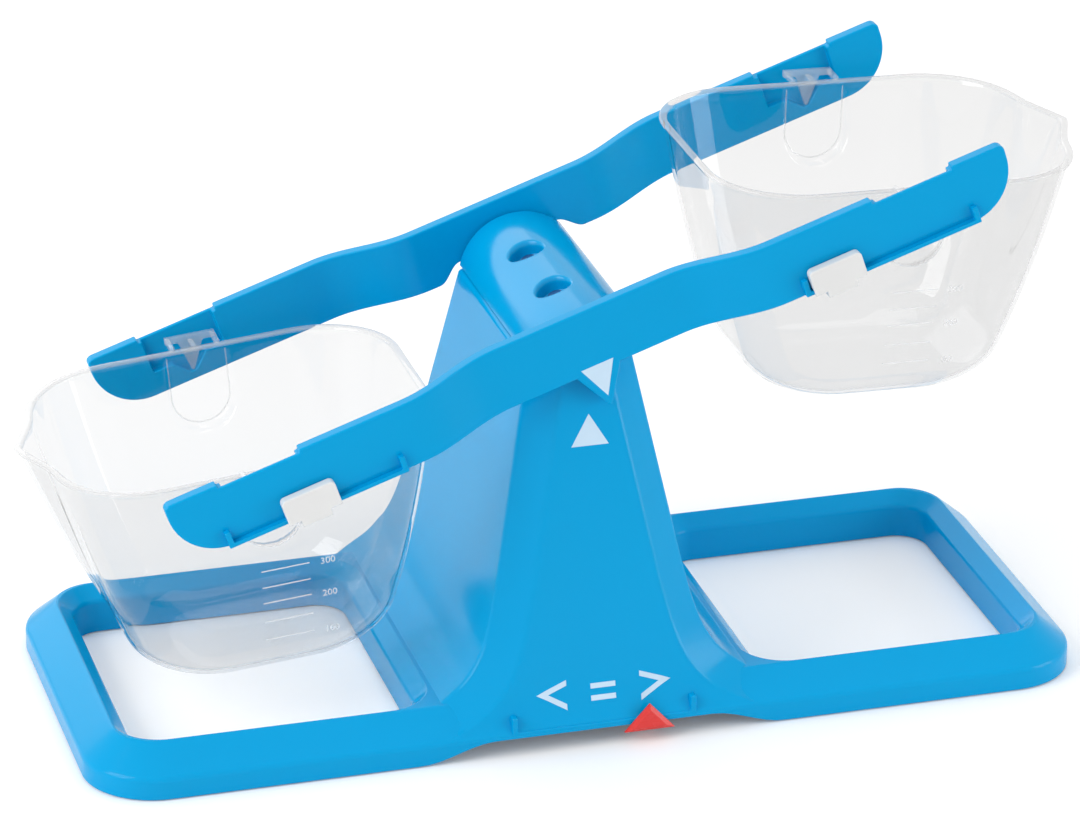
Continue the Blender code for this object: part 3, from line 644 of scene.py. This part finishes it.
def archSolid(name, half, inset, floor, endEdge):
    rings = []
    for side in (-1, 1):
        rows = []
        for step in range(7):
            turn = pi / 2 * step / 6
            y = side * (half - endEdge * (1 - sin(turn)))
            rows.append(archSection(y, inset + endEdge * (1 - cos(turn)), floor))
        rows.append(archSection(side * half, inset + endEdge + hub["endFlat"], floor))
        rows.append([(0, side * half, (floor + hub["crown"]) / 2)] * len(rows[0]))
        rings += reversed(rows) if side == -1 else [archSection(half * (row / 12 - 0.5), inset, floor)
                                                    for row in range(1, 12)] + rows
    return skinRings(name, rings, sharp=40)


def wellRing(middle, radius, height, onArch=False):
    # a level ring, or one that lies at that height over the arch
    ring = []
    for step in range(hub["wellSteps"]):
        turn = 2 * pi * step / hub["wellSteps"]
        x = radius * cos(turn)
        z = hubCentre + sqrt(hubRadius ** 2 - x ** 2) + height if onArch else height
        ring.append((x, middle + radius * sin(turn), z))
    return ring


def wellSkin(middle):
    # a rim that follows the arch, a drawn-in throat, the floor and the boss below
    rim, throat, boss = hub["rimRadius"], hub["wellRadius"], hub["boss"]
    rings = [[(0, middle, boss)] * hub["wellSteps"], wellRing(middle, rim - hub["bossTuck"], boss),
             wellRing(middle, rim, boss + hub["bossEdge"])]
    rings += [wellRing(middle, rim + out, lift, True) for out, lift in hub["rimRun"]]
    rings += [wellRing(middle, throat + out, lift, True) for out, lift in hub["throatRun"]]
    rings += [wellRing(middle, throat + out, hub["floor"] + lift) for out, lift in hub["floorRun"]]
    return skinRings("well", rings + [[(0, middle, hub["floor"])] * hub["wellSteps"]], sharp=60)


saddle = archSolid("saddle", hub["half"], 0.0, -hub["drop"], hub["endEdge"])
cutWith(saddle, archSolid("saddleHollow", hub["half"] - hub["endWall"], hub["wall"],
                          -hub["drop"] - hub["below"], hub["endFlat"]))
hubPieces = [saddle]
for side in (-1, 1):
    clearSelection()
    bpy.ops.mesh.primitive_cylinder_add(vertices=64, radius=hub["rimRadius"] + hub["cutPlay"],
                                        depth=hub["cutDeep"],
                                        location=(0, side * hub["wellAt"], hub["cutRise"]))
    cutWith(saddle, bpy.context.active_object)
    hubPieces.append(wellSkin(side * hub["wellAt"]))
hubCover = placeBy(joinPieces(hubPieces, "hubCover"), beamFrame)
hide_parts("hub_saddle")
putOn(hubCover, bodyOf("hub_saddle"), hubBlue)
print("hub", len(hubCover.data.polygons), "faces")


# the arms: a flat plate with pockets, its middle drawn in towards the hub

arm = {"half": 0.1555, "outer": 0.0669, "thick": 0.0047, "drawn": 0.0104, "bendNear": 0.0320,
       "bendFar": 0.0680, "top": 0.0155, "bottom": 0.0076, "lowCorner": 0.0180, "topCorner": 0.0025,
       "topShare": 0.8, "edge": 0.0006, "waistNear": 0.0190, "waistFar": 0.0285, "waistRise": 0.0059,
       "seatU": 0.1212, "pocketHalf": 0.0136, "pocketDeep": 0.0030, "pocketLow": -0.0043, "shelf": 0.0010,
       "shelfSlope": 0.0003, "notchTip": 0.0009, "notchHalf": 0.0062, "cutPlay": 0.002,
       "wallDrop": 0.0014, "wallEase": 0.0014}
pointer = {"half": 0.0082, "tip": -0.0216, "tipHalf": 0.0005, "thick": 0.0033, "proud": 0.00003,
           "top": -0.0061, "topEase": 0.0006, "edge": 0.0006}
railLook = {"near": 0.0740, "far": 0.1400, "height": 0.0018, "reach": 0.0024, "stop": 0.0020,
            "stopHeight": 0.0064, "slope": 0.0013, "sink": 0.0002, "root": 0.0012, "edge": 0.0004}


def drawnIn(u):
    share = min(max((abs(u) - arm["bendNear"]) / (arm["bendFar"] - arm["bendNear"]), 0), 1)
    return arm["drawn"] * (1 + cos(pi * share)) / 2


def armOutline(side):
    # from the left end along the lower edge and back along the upper one
    right = []
    if side == 1:
        for step in range(13):
            share = step / 12
            u = arm["waistNear"] + (arm["waistFar"] - arm["waistNear"]) * share
            right.append((u, -arm["bottom"] + arm["waistRise"] * (1 + cos(pi * share)) / 2))
    corner = arm["half"] - arm["lowCorner"]
    for step in range(19):
        turn = pi / 2 * step / 18
        right.append((corner + arm["lowCorner"] * sin(turn),
                      -arm["bottom"] + arm["lowCorner"] * (1 - cos(turn))))
    corner = arm["half"] - arm["topCorner"]
    for step in range(7):
        turn = pi / 2 * (1 - step / 6)
        right.append((corner + arm["topCorner"] * sin(turn),
                      arm["top"] - arm["topShare"] * arm["topCorner"] * (1 - cos(turn))))
    wide, wallTop = arm["pocketHalf"] + arm["wallEase"], arm["top"] - arm["wallDrop"]
    right += [(arm["seatU"] + wide, arm["top"]), (arm["seatU"] + wide, wallTop),
              (arm["seatU"] - wide, wallTop), (arm["seatU"] - wide, arm["top"])]
    return right + [(-u, v) for u, v in reversed(right)]


def armPlate(name, side):
    inner = side * (arm["outer"] - arm["thick"])
    plate = cutOut(name, armOutline(side), inner, side * arm["outer"])
    for end in (-1, 1):
        pocket = [(arm["notchTip"], arm["pocketLow"]), (arm["notchHalf"], arm["shelf"]),
                  (arm["pocketHalf"], arm["shelf"] + arm["shelfSlope"]),
                  (arm["pocketHalf"], arm["top"] + arm["cutPlay"])]
        pocket = [(end * arm["seatU"] + u, v) for u, v in pocket + [(-u, v) for u, v in reversed(pocket)]]
        cutWith(plate, cutOut("pocketCutter", pocket, inner - side * arm["cutPlay"],
                              inner + side * arm["pocketDeep"]))
    bevelCorners(plate, arm["edge"], 4, 35)
    # slices across the bend, then each slice moves in
    editMode(plate)
    for end in (-1, 1):
        for step in range(25):
            u = end * (arm["bendNear"] + (arm["bendFar"] - arm["bendNear"]) * step / 24)
            bpy.ops.mesh.select_all(action="SELECT")
            bpy.ops.mesh.bisect(plane_co=(u, 0, 0), plane_no=(1, 0, 0))
    bpy.ops.mesh.select_all(action="SELECT")
    bpy.ops.mesh.remove_doubles(threshold=0.000005)
    objectMode()
    for point in plate.data.vertices:
        point.co.y -= side * drawnIn(point.co.x)
    return smoothFaces(plate, 35)


def pointerAndRails():
    # only the front arm has these: the pointer under its middle and a stopped rail for each weight
    face = arm["drawn"] - arm["outer"] - pointer["proud"]
    shape = [(pointer["tipHalf"], pointer["tip"]), (pointer["half"], -arm["bottom"]),
             (pointer["half"] - pointer["topEase"], pointer["top"])]
    shape = [(-u, v) for u, v in reversed(shape[:2])] + shape + [(-shape[2][0], shape[2][1])]
    tip = cutOut("pointerPlate", shape, face, face + pointer["thick"])
    pieces = [roundEdges(tip, pointer["edge"])]
    low, railTop = -arm["bottom"] + railLook["sink"], -arm["bottom"] + railLook["height"]
    stopTop = -arm["bottom"] + railLook["stopHeight"]
    near, far = railLook["near"] + railLook["stop"], railLook["far"] - railLook["stop"]
    shape = [(railLook["near"], low), (railLook["far"], low), (railLook["far"], stopTop), (far, stopTop),
             (far, railTop), (near, railTop), (near, stopTop), (railLook["near"], stopTop)]
    lip = -arm["outer"] - railLook["reach"]
    for end in (-1, 1):
        rail = cutOut("trimRail", [(end * u, v) for u, v in shape], lip, railLook["root"] - arm["outer"])
        bevelEdges(rail, lambda a, b: max(a.y, b.y) < lip + nearly and abs(a.z - b.z) < nearly
                   and abs(a.z - railTop) < nearly and abs(a.x - b.x) > 0.01, railLook["slope"], 5)
        pieces.append(roundEdges(rail, railLook["edge"], 3, 40))
    return pieces


for word, side in (("front", -1), ("back", 1)):
    armPieces = [armPlate(word + "Plate", side)] + (pointerAndRails() if side == -1 else [])
    plate = placeBy(joinPieces(armPieces, word + "ArmPlate"), beamFrame)
    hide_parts(word + "_arm")
    putOn(plate, bodyOf(word + "_arm"), armBlue)
    print(plate.name, len(plate.data.polygons), "faces")


# the two trim weights hang over the rails and hook under the arm

trim = {"half": 0.00975, "height": 0.0094, "gap": 0.0003, "wall": 0.0015, "corner": 0.0018,
        "hookHalf": 0.0055, "hookDrop": 0.0021, "hookTop": 0.0009, "toe": 0.0012, "toeHeight": 0.0024,
        "edge": 0.0005, "left": -0.1090, "right": 0.0865}
face = -arm["outer"]
low = -arm["bottom"]
front = face - railLook["reach"] - trim["gap"] - trim["wall"]
grip = front + trim["wall"]
over = low + railLook["height"] + trim["gap"]
back = face + arm["thick"] + trim["gap"]
under = low - trim["gap"]
foot = under - trim["hookDrop"]
head = low + trim["height"]
bodyShape = [(face - trim["gap"], head), (front, head), (front, low), (grip, low), (grip, over),
             (face - trim["gap"], over)]
hookShape = [(front, low + trim["hookTop"]), (front, foot), (back + trim["toe"], foot),
             (back + trim["toe"], low + trim["toeHeight"]), (back, low + trim["toeHeight"]), (back, under),
             (grip, under), (grip, low + trim["hookTop"])]
for word in ("left", "right"):
    middle = trim[word]
    weight = cutOut(word + "Body", bodyShape, middle - trim["half"], middle + trim["half"], "YZ")
    bevelEdges(weight, lambda a, b: min(a.z, b.z) > head - nearly and abs(a.y - b.y) > 0.001,
               trim["corner"], 8)
    roundEdges(weight, trim["edge"], 3, 30)
    catch = cutOut(word + "Catch", hookShape, middle - trim["hookHalf"], middle + trim["hookHalf"], "YZ")
    roundEdges(catch, trim["edge"] * 0.8)
    weight = placeBy(joinPieces([weight, catch], word + "TrimWeight"), beamFrame)
    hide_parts(word + "_compensator")
    putOn(weight, bodyOf(word + "_compensator"), white)
print("trim weights made")


# the red marker: a bevelled triangle that grips the skirt from behind

markerLook = {"centre": 0.0160, "half": 0.0091, "low": 0.0037, "height": 0.0100, "thick": 0.0017,
              "gap": 0.0003, "slope": 0.0014, "slopeDeep": 0.0009, "gripHalf": 0.0040, "gripRoot": 0.0009,
              "gripEdge": 0.0003, "toe": 0.0012, "toeRise": 0.0016}
near = -base["halfY"] - markerLook["gap"]
low, tip = markerLook["low"], markerLook["low"] + markerLook["height"]
centre, wide = markerLook["centre"], markerLook["half"]
marker = cutOut("triangle", [(centre - wide, low), (centre + wide, low), (centre, tip)],
                near - markerLook["thick"] + markerLook["slopeDeep"], near)
selectFaces(marker, lambda face: face.normal.y < -0.9)
bpy.ops.mesh.inset(thickness=markerLook["slope"], depth=markerLook["slopeDeep"])
objectMode()
smoothFaces(marker, 12)
under = arch["height"] - markerLook["gap"]
inside = ledgeBack + markerLook["gap"]
root, toe, toeTop = near - markerLook["gripRoot"], inside + markerLook["toe"], under + markerLook["toeRise"]
gripShape = [(root, low), (toe, low), (toe, toeTop), (inside, toeTop), (inside, under), (root, under)]
catch = cutOut("markerCatch", gripShape, centre - markerLook["gripHalf"], centre + markerLook["gripHalf"],
               "YZ")
redMarker = joinPieces([marker, roundEdges(catch, markerLook["gripEdge"])], "redMarker")
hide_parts("marker_clip")
putOn(redMarker, bodyOf("marker_clip"), red)
print("marker", len(redMarker.data.polygons), "faces")

# the screws' dark blue is painted shade of the wells they sit in
for node, material in (("fulcrum_bar", white), ("hub_screw_front", steel), ("hub_screw_back", steel)):
    carried = frame["nodes"][node]
    carried.data.materials.clear()
    carried.data.materials.append(material)


# the buckets: one clear skin each, inside and outside in one run of rings

bucket = {"halfX": 0.0661, "halfY": 0.0550, "corner": 0.0320, "height": 0.0885, "rise": 0.0120,
          "endTaper": 0.26, "sideTaper": 0.20, "bulge": 0.0025, "wall": 0.0016, "foot": 0.0160,
          "padRowsLow": 0.0340, "padRowsTop": 0.0040, "spout": 0.0088, "spoutHalf": 0.0220,
          "spoutDepth": 0.0700, "spoutFoot": 0.25, "spoutFade": 1.5, "spoutTip": 0.0012,
          "spoutEase": 0.0020, "rimPaintedShade": 0.0007, "padHalf": 0.0115, "padReach": 0.0140,
          "padDepth": 0.0300, "padPlay": 0.0004, "padEdge": 0.0016, "seatDrop": 0.0040,
          "leftTilt": -5.3, "rightTilt": 1.4,
          "lip": [(0.0030, 0.0), (0.0024, -0.0001), (0.0020, -0.0003), (0.0017, -0.0007),
                  (0.0015, -0.0011), (0.0012, -0.0013), (0.0008, -0.0013), (0.0004, -0.0012),
                  (0.0001, -0.0009), (0.0, -0.0005), (0.0, 0.0002), (0.0, 0.0009), (0.0002, 0.0013),
                  (0.0006, 0.0015), (0.0012, 0.0016), (0.0028, 0.0016)]}
hooks = {"half": 0.0092, "rise": 0.0135, "bar": 0.0025, "near": 0.06255, "far": 0.06475, "strut": 0.0020,
         "strutHalf": 0.0009, "root": 0.3, "bite": 0.0008, "play": 0.0003, "topPlay": 0.0002,
         "pointHalf": 0.0045, "tip": 0.0005, "edge": 0.0004, "padHighlightLine": 0.0005, "lineTop": 0.0024}


def padShare(x, depth):
    # 1 inside the upright U under a hook, 0 outside, eased across its edge
    low = bucket["padDepth"] - bucket["padHalf"]
    far = abs(x) if depth < low else sqrt(x * x + (depth - low) ** 2)
    share = min(max(0.5 - (far - bucket["padHalf"]) / bucket["padEdge"], 0), 1)
    return share * share * (3 - 2 * share)


def drawnOut(x, y, halfX, share):
    # the pouring spout: a V that grows towards the rim and eases into the rounded end
    wide = bucket["spoutHalf"] * (bucket["spoutFoot"] + (1 - bucket["spoutFoot"]) * share)
    if share <= 0 or abs(y) > wide * bucket["spoutFade"]:
        return x
    tip, ease = bucket["spoutTip"], bucket["spoutEase"] * share
    line = halfX + bucket["spout"] * share * (1 - (sqrt(y * y + tip * tip) - tip) / wide)
    drawn = (line + x + sqrt((line + x) ** 2 + ease * ease)) / 2
    return x - drawn * (1 - (y / wide / bucket["spoutFade"]) ** 4)


def bucketCorner(quarter, middleX, middleY, radius):
    # a quarter turn round one corner, without its last point
    turns = [pi / 2 * (quarter + step / 12) for step in range(12)]
    return [(middleX + radius * cos(turn), middleY + radius * sin(turn)) for turn in turns]


def bucketRing(depth, inset, pull=0.0):
    bulge = bucket["bulge"] * sin(pi * min(max(depth, 0), bucket["height"]) / bucket["height"])
    halfX = bucket["halfX"] - bucket["endTaper"] * depth + bulge - inset - pull
    halfY = bucket["halfY"] - bucket["sideTaper"] * depth - inset - pull
    radius = bucket["corner"] - inset - pull / 2 - bucket["sideTaper"] * depth / 3
    z = bucket["rise"] - depth
    straight, cross = halfX - radius, halfY - radius
    share = max(1 - depth / bucket["spoutDepth"], 0)
    padX = min(bucket["padReach"], straight * 0.55)
    longRun = [straight + (padX - straight) * step / 5 for step in range(5)]
    longRun += [padX * (1 - step / 20) for step in range(41)]
    longRun += [-padX - (straight - padX) * step / 5 for step in range(1, 6)]
    outward = bucket["halfY"] - bucket["padPlay"] - max(inset, 0)
    spoutEnd = bucketCorner(1, -straight, cross, radius)
    spoutEnd += [(-halfX, cross * (1 - step / 16)) for step in range(32)]
    spoutEnd += bucketCorner(2, -straight, -cross, radius)
    ring = [(x, halfY + max(outward - halfY, 0) * padShare(x, depth)) for x in longRun[:-1]]
    ring += [(drawnOut(x, y, halfX, share), y) for x, y in spoutEnd]
    ring += [(x, -halfY - max(outward - halfY, 0) * padShare(x, depth)) for x in longRun[:0:-1]]
    ring += bucketCorner(3, straight, -cross, radius)
    ring += [(halfX, -cross * (1 - step / 5)) for step in range(10)]
    ring += bucketCorner(0, straight, cross, radius)
    return [(x, y, z) for x, y in ring]


def bucketWall(inset):
    # rings from the middle of the floor up to just under the lip
    deepest = bucket["height"] - inset
    foot = bucket["foot"] - inset
    rings = []
    for step in range(13):
        turn = pi / 2 * step / 12
        rings.append(bucketRing(deepest - foot * (1 - cos(turn)), inset, foot * (1 - sin(turn))))
    flat = rings[0]
    floor = [[(x * share, y * share, z) for x, y, z in flat] for share in (0, 0.5, 0.9)]
    upTo, low, top = deepest - foot, bucket["padRowsLow"], bucket["padRowsTop"]
    rows = [upTo + (low - upTo) * step / 12 for step in range(1, 12)]
    rows += [low + (top - low) * step / 38 for step in range(39)]
    return floor + rings + [bucketRing(depth, inset) for depth in rows]


def bucketSkin(name):
    # the outside up, over the lip and down the inside; the rim's points are marked for the painted shade and
    # painted highlight along the lip
    rings = bucketWall(0.0)
    rings += [bucketRing(depth, inset) for depth, inset in bucket["lip"]]
    rings += reversed(bucketWall(bucket["wall"]))
    skin = skinRings(name, rings, sharp=75)
    shade = skin.data.attributes.new("rimPaintedShade", "FLOAT", "POINT")
    for point, spot in zip(skin.data.vertices, shade.data):
        spot.value = 1 if point.co.z > bucket["rise"] - bucket["rimPaintedShade"] else 0
    return skin


def hookPieces():
    low = hooks["rise"] - hooks["bar"]
    outline = [(hooks["half"], hooks["rise"]), (hooks["half"], low), (hooks["pointHalf"], low),
               (hooks["tip"], 0.0)]
    outline += [(-x, z) for x, z in reversed(outline)]
    outer, outerTop = hooks["half"] - hooks["strut"] / 2, hooks["rise"] - hooks["topPlay"]
    root, bite = bucket["halfY"] - bucket["wall"] * hooks["root"], hooks["near"] + hooks["bite"]
    pieces = []
    for side in (-1, 1):
        bar = cutOut("hookBar", outline, side * hooks["near"], side * hooks["far"])
        pieces.append(roundEdges(bar, hooks["edge"], 3, 30))
        lowY, highY = sorted((side * root, side * bite))
        for centre, top in ((-outer, outerTop), (0, bucket["rise"] - hooks["play"]), (outer, outerTop)):
            strut = block("hookStrut", (centre - hooks["strutHalf"], lowY, low + hooks["play"]),
                          (centre + hooks["strutHalf"], highY, top))
            pieces.append(roundEdges(strut, hooks["edge"], 3, 30))
        # a painted highlight: a fine light line round the upright pad
        half = bucket["padHalf"] - bucket["padEdge"] / 2
        turnAt = bucket["rise"] - bucket["padDepth"] + bucket["padHalf"]
        line = [(-half * cos(pi * step / 16), turnAt - half * sin(pi * step / 16)) for step in range(17)]
        lineTop, face = bucket["rise"] - hooks["lineTop"], bucket["halfY"] - bucket["padPlay"]
        line = [(-half, lineTop)] + line + [(half, lineTop)]
        pieces.append(strokeMark("padHighlightLine", line, hooks["padHighlightLine"] / 2,
                                 lambda x, z, lift: (x, side * (face + lift), z)))
    return pieces


firstBucket = joinPieces([bucketSkin("bucketSkin")], "leftBucketShell")
firstHooks = joinPieces(hookPieces(), "leftBucketHooks")
print("bucket", len(firstBucket.data.polygons), "faces")
bucketFrames = {}
for word, end in (("left", -1), ("right", 1)):
    # each hangs from the arms' notches, with its spout away from the tower
    seatPoint = beamFrame @ Vector((end * arm["seatU"], 0, -bucket["seatDrop"]))
    hanging = Matrix.Translation(seatPoint) @ Matrix.Rotation(radians(bucket[word + "Tilt"]), 4, "Y")
    bucketFrames[word] = hanging @ (Matrix.Identity(4) if end == -1 else Matrix.Rotation(pi, 4, "Z"))
secondBucket = copyOf(firstBucket, "rightBucketShell")
secondHooks = copyOf(firstHooks, "rightBucketHooks")
for word, shell, pair in (("left", firstBucket, firstHooks), ("right", secondBucket, secondHooks)):
    placeBy(shell, bucketFrames[word])
    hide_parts(word + "_bucket")
    putOn(shell, bodyOf(word + "_bucket"), clear)
    placeBy(pair, bucketFrames[word])
    # the hooks get the clear plastic with the painted highlight
    putOn(pair, bodyOf(word + "_bucket"), hookHighlightPlastic)
print("buckets hung")


# printed marks: pointer and signs on the tower, pale fill of the arm's pointer

marks = {"lift": 0.00010, "sink": 0.00015, "stroke": 0.0018, "blank": 0.001,
         "triangle": [(0.0, 0.1156), (-0.0067, 0.1046), (0.0067, 0.1046)],
         "strokes": [[(-0.0127, 0.0227), (-0.0215, 0.0193), (-0.0128, 0.0143)],
                     [(-0.0040, 0.0205), (0.0050, 0.0205)], [(-0.0040, 0.0163), (0.0050, 0.0163)],
                     [(0.0138, 0.0229), (0.0228, 0.0198), (0.0141, 0.0146)]]}


def onTower(x, z, lift):
    return (x, -towerDepth(z) - lift, z)


markPieces = [strokeMark("stroke", points, marks["stroke"] / 2, onTower) for points in marks["strokes"]]
sign = cutOut("triangleMark", marks["triangle"], 0, marks["blank"])
for point in sign.data.vertices:
    lift = marks["lift"] if point.co.y < marks["blank"] / 2 else -marks["sink"]
    point.co = onTower(point.co.x, point.co.z, lift)
markPieces.append(sign)
towerMarks = joinPieces(markPieces, "towerMarks")
editMode(towerMarks)
bpy.ops.mesh.select_all(action="SELECT")
bpy.ops.mesh.normals_make_consistent(inside=False)
objectMode()
putOn(towerMarks, "base", paleInk)

pointerFill = {"half": 0.0060, "top": -0.0052, "tip": -0.0178, "face": -0.0565, "lift": 0.00012,
               "sink": 0.0006}
fill = cutOut("armPointerFill", [(0, pointerFill["tip"]), (pointerFill["half"], pointerFill["top"]),
                                 (-pointerFill["half"], pointerFill["top"])],
              pointerFill["face"] - pointerFill["lift"], pointerFill["face"] + pointerFill["sink"])
placeBy(fill, beamFrame)
putOn(fill, "beam", paleInk)
print("marks printed")

# the buckets' scale: fine lines and plain numbers on the wall that faces the front
scaleMarks = {"numbers": (("300", 0.0425), ("200", 0.0562), ("100", 0.0716)), "numberX": 0.0195,
              "letter": 0.0036, "lines": (0.0420, 0.0489, 0.0555, 0.0635, 0.0710), "lineFrom": -0.0040,
              "lineTo": 0.0130, "stroke": 0.0004, "lift": 0.00012, "thick": 0.00022}


def onBucket(x, z, lift):
    depth = bucket["rise"] - z
    return (x, -(bucket["halfY"] - bucket["sideTaper"] * depth) - lift, z)


scalePieces = []
for text, depth in scaleMarks["numbers"]:
    clearSelection()
    bpy.ops.object.text_add(rotation=(pi / 2, 0, 0))
    number = bpy.context.active_object
    number.data.body = text
    number.data.size = scaleMarks["letter"]
    number.data.align_x = "CENTER"
    number.data.align_y = "CENTER"
    number.data.extrude = scaleMarks["thick"] / 2
    number.data.resolution_u = 3
    pick([number])
    bpy.ops.object.convert(target="MESH")
    number.location = (scaleMarks["numberX"], 0, bucket["rise"] - depth)
    applyPlace(number)
    scalePieces.append(number)
halfThick, halfStroke = scaleMarks["thick"] / 2, scaleMarks["stroke"] / 2
for depth in scaleMarks["lines"]:
    z = bucket["rise"] - depth
    scalePieces.append(block("scaleLine", (scaleMarks["lineFrom"], -halfThick, z - halfStroke),
                             (scaleMarks["lineTo"], halfThick, z + halfStroke)))
scale = joinPieces(scalePieces, "leftBucketScale")
for point in scale.data.vertices:
    point.co = onBucket(point.co.x, point.co.z, scaleMarks["lift"] - point.co.y - halfThick)
secondScale = copyOf(scale, "rightBucketScale")
for word, piece, turn in (("left", scale, 0), ("right", secondScale, pi)):
    placeBy(piece, bucketFrames[word] @ Matrix.Rotation(turn, 4, "Z"))
    putOn(piece, bodyOf(word + "_bucket"), frostInk)
print("scales printed")


# floor, light and camera

stageLook = {"size": 12, "drop": 0.0004, "floorColour": 0.93, "glow": 0.10, "farGlow": 0.45, "nearEdge": 0.8,
             "farEdge": 2.2, "worldLight": 0.62, "aimHeight": 0.08}
clearSelection()
bpy.ops.mesh.primitive_plane_add(size=stageLook["size"], location=(0, 0, -stageLook["drop"]))
floor = bpy.context.active_object
floor.name = "paleFloor"
floorMaterial, tree, shader = startMaterial("pale floor")
setInputs(shader, {"Base Color": (*[stageLook["floorColour"]] * 3, 1), "Roughness": 0.6,
                   "Specular IOR Level": 0.2})
glow = tree.nodes.new("ShaderNodeEmission")
seen = tree.nodes.new("ShaderNodeLightPath")
total = tree.nodes.new("ShaderNodeAddShader")
# the floor grows whiter far from the object, past the lamps' reach
spot = tree.nodes.new("ShaderNodeTexCoord")
away = tree.nodes.new("ShaderNodeVectorMath")
away.operation = "LENGTH"
tree.links.new(spot.outputs["Object"], away.inputs[0])
fade = rangeNode(tree, away.outputs["Value"], stageLook["glow"], stageLook["farGlow"], stageLook["nearEdge"],
                 stageLook["farEdge"])
tree.links.new(mathNode(tree, "MULTIPLY", seen.outputs["Is Camera Ray"], fade), glow.inputs["Strength"])
tree.links.new(shader.outputs["BSDF"], total.inputs[0])
tree.links.new(glow.outputs["Emission"], total.inputs[1])
tree.links.new(total.outputs["Shader"], tree.nodes["Material Output"].inputs["Surface"])
floor.data.materials.append(floorMaterial)

world = bpy.data.worlds.new("white room")
bpy.context.scene.world = world
world.use_nodes = True
tree = world.node_tree
back = tree.nodes["Background"]
setInputs(back, {"Color": (1, 1, 1, 1)})
# the room looks white, straight on, in a gloss or through the plastic, but lights less than white
path = tree.nodes.new("ShaderNodeLightPath")
seen = mathNode(tree, "MAXIMUM", path.outputs["Is Camera Ray"], path.outputs["Is Glossy Ray"])
seen = mathNode(tree, "MAXIMUM", seen, path.outputs["Is Transmission Ray"])
tree.links.new(rangeNode(tree, seen, stageLook["worldLight"], 1, 0, 1), back.inputs["Strength"])

lamps = {
    "leftSoftbox": {"place": (-1.4, -0.4, 0.95), "size": 1.0, "power": 16},
    "topSoftbox": {"place": (0.2, 0.35, 1.7), "size": 1.1, "power": 6},
    "backSoftbox": {"place": (-0.35, 1.7, 0.85), "size": 1.3, "power": 5},
    "rightFill": {"place": (1.5, -0.8, 0.35), "size": 0.9, "power": 11},
}
for name, lamp in lamps.items():
    bpy.ops.object.light_add(type="AREA", location=lamp["place"])
    light = bpy.context.active_object
    light.name = name
    light.data.size = lamp["size"]
    light.data.energy = lamp["power"]
    away = Vector(lamp["place"]) - Vector((0, 0, stageLook["aimHeight"]))
    light.rotation_euler = away.to_track_quat("Z", "Y").to_euler()

view = {"azimuth": -16.056, "elevation": 23.775, "roll": 0.22, "distance": 1.83137,
        "target": (-0.00227, 0.0, 0.09444), "lens": 172.71}
bpy.ops.object.camera_add()
camera = bpy.context.active_object
camera.name = "photoCamera"
camera.data.sensor_fit = "HORIZONTAL"
camera.data.sensor_width = 36
camera.data.lens = view["lens"]
camera.data.clip_end = 30
camera.rotation_euler = (radians(90 - view["elevation"]), 0, radians(view["azimuth"]))
camera.rotation_euler.rotate_axis("Z", radians(view["roll"]))
toCamera = camera.rotation_euler.to_matrix() @ Vector((0, 0, view["distance"]))
camera.location = Vector(view["target"]) + toCamera
bpy.context.scene.camera = camera
bpy.context.scene.view_settings.view_transform = "Standard"
print("stage set")
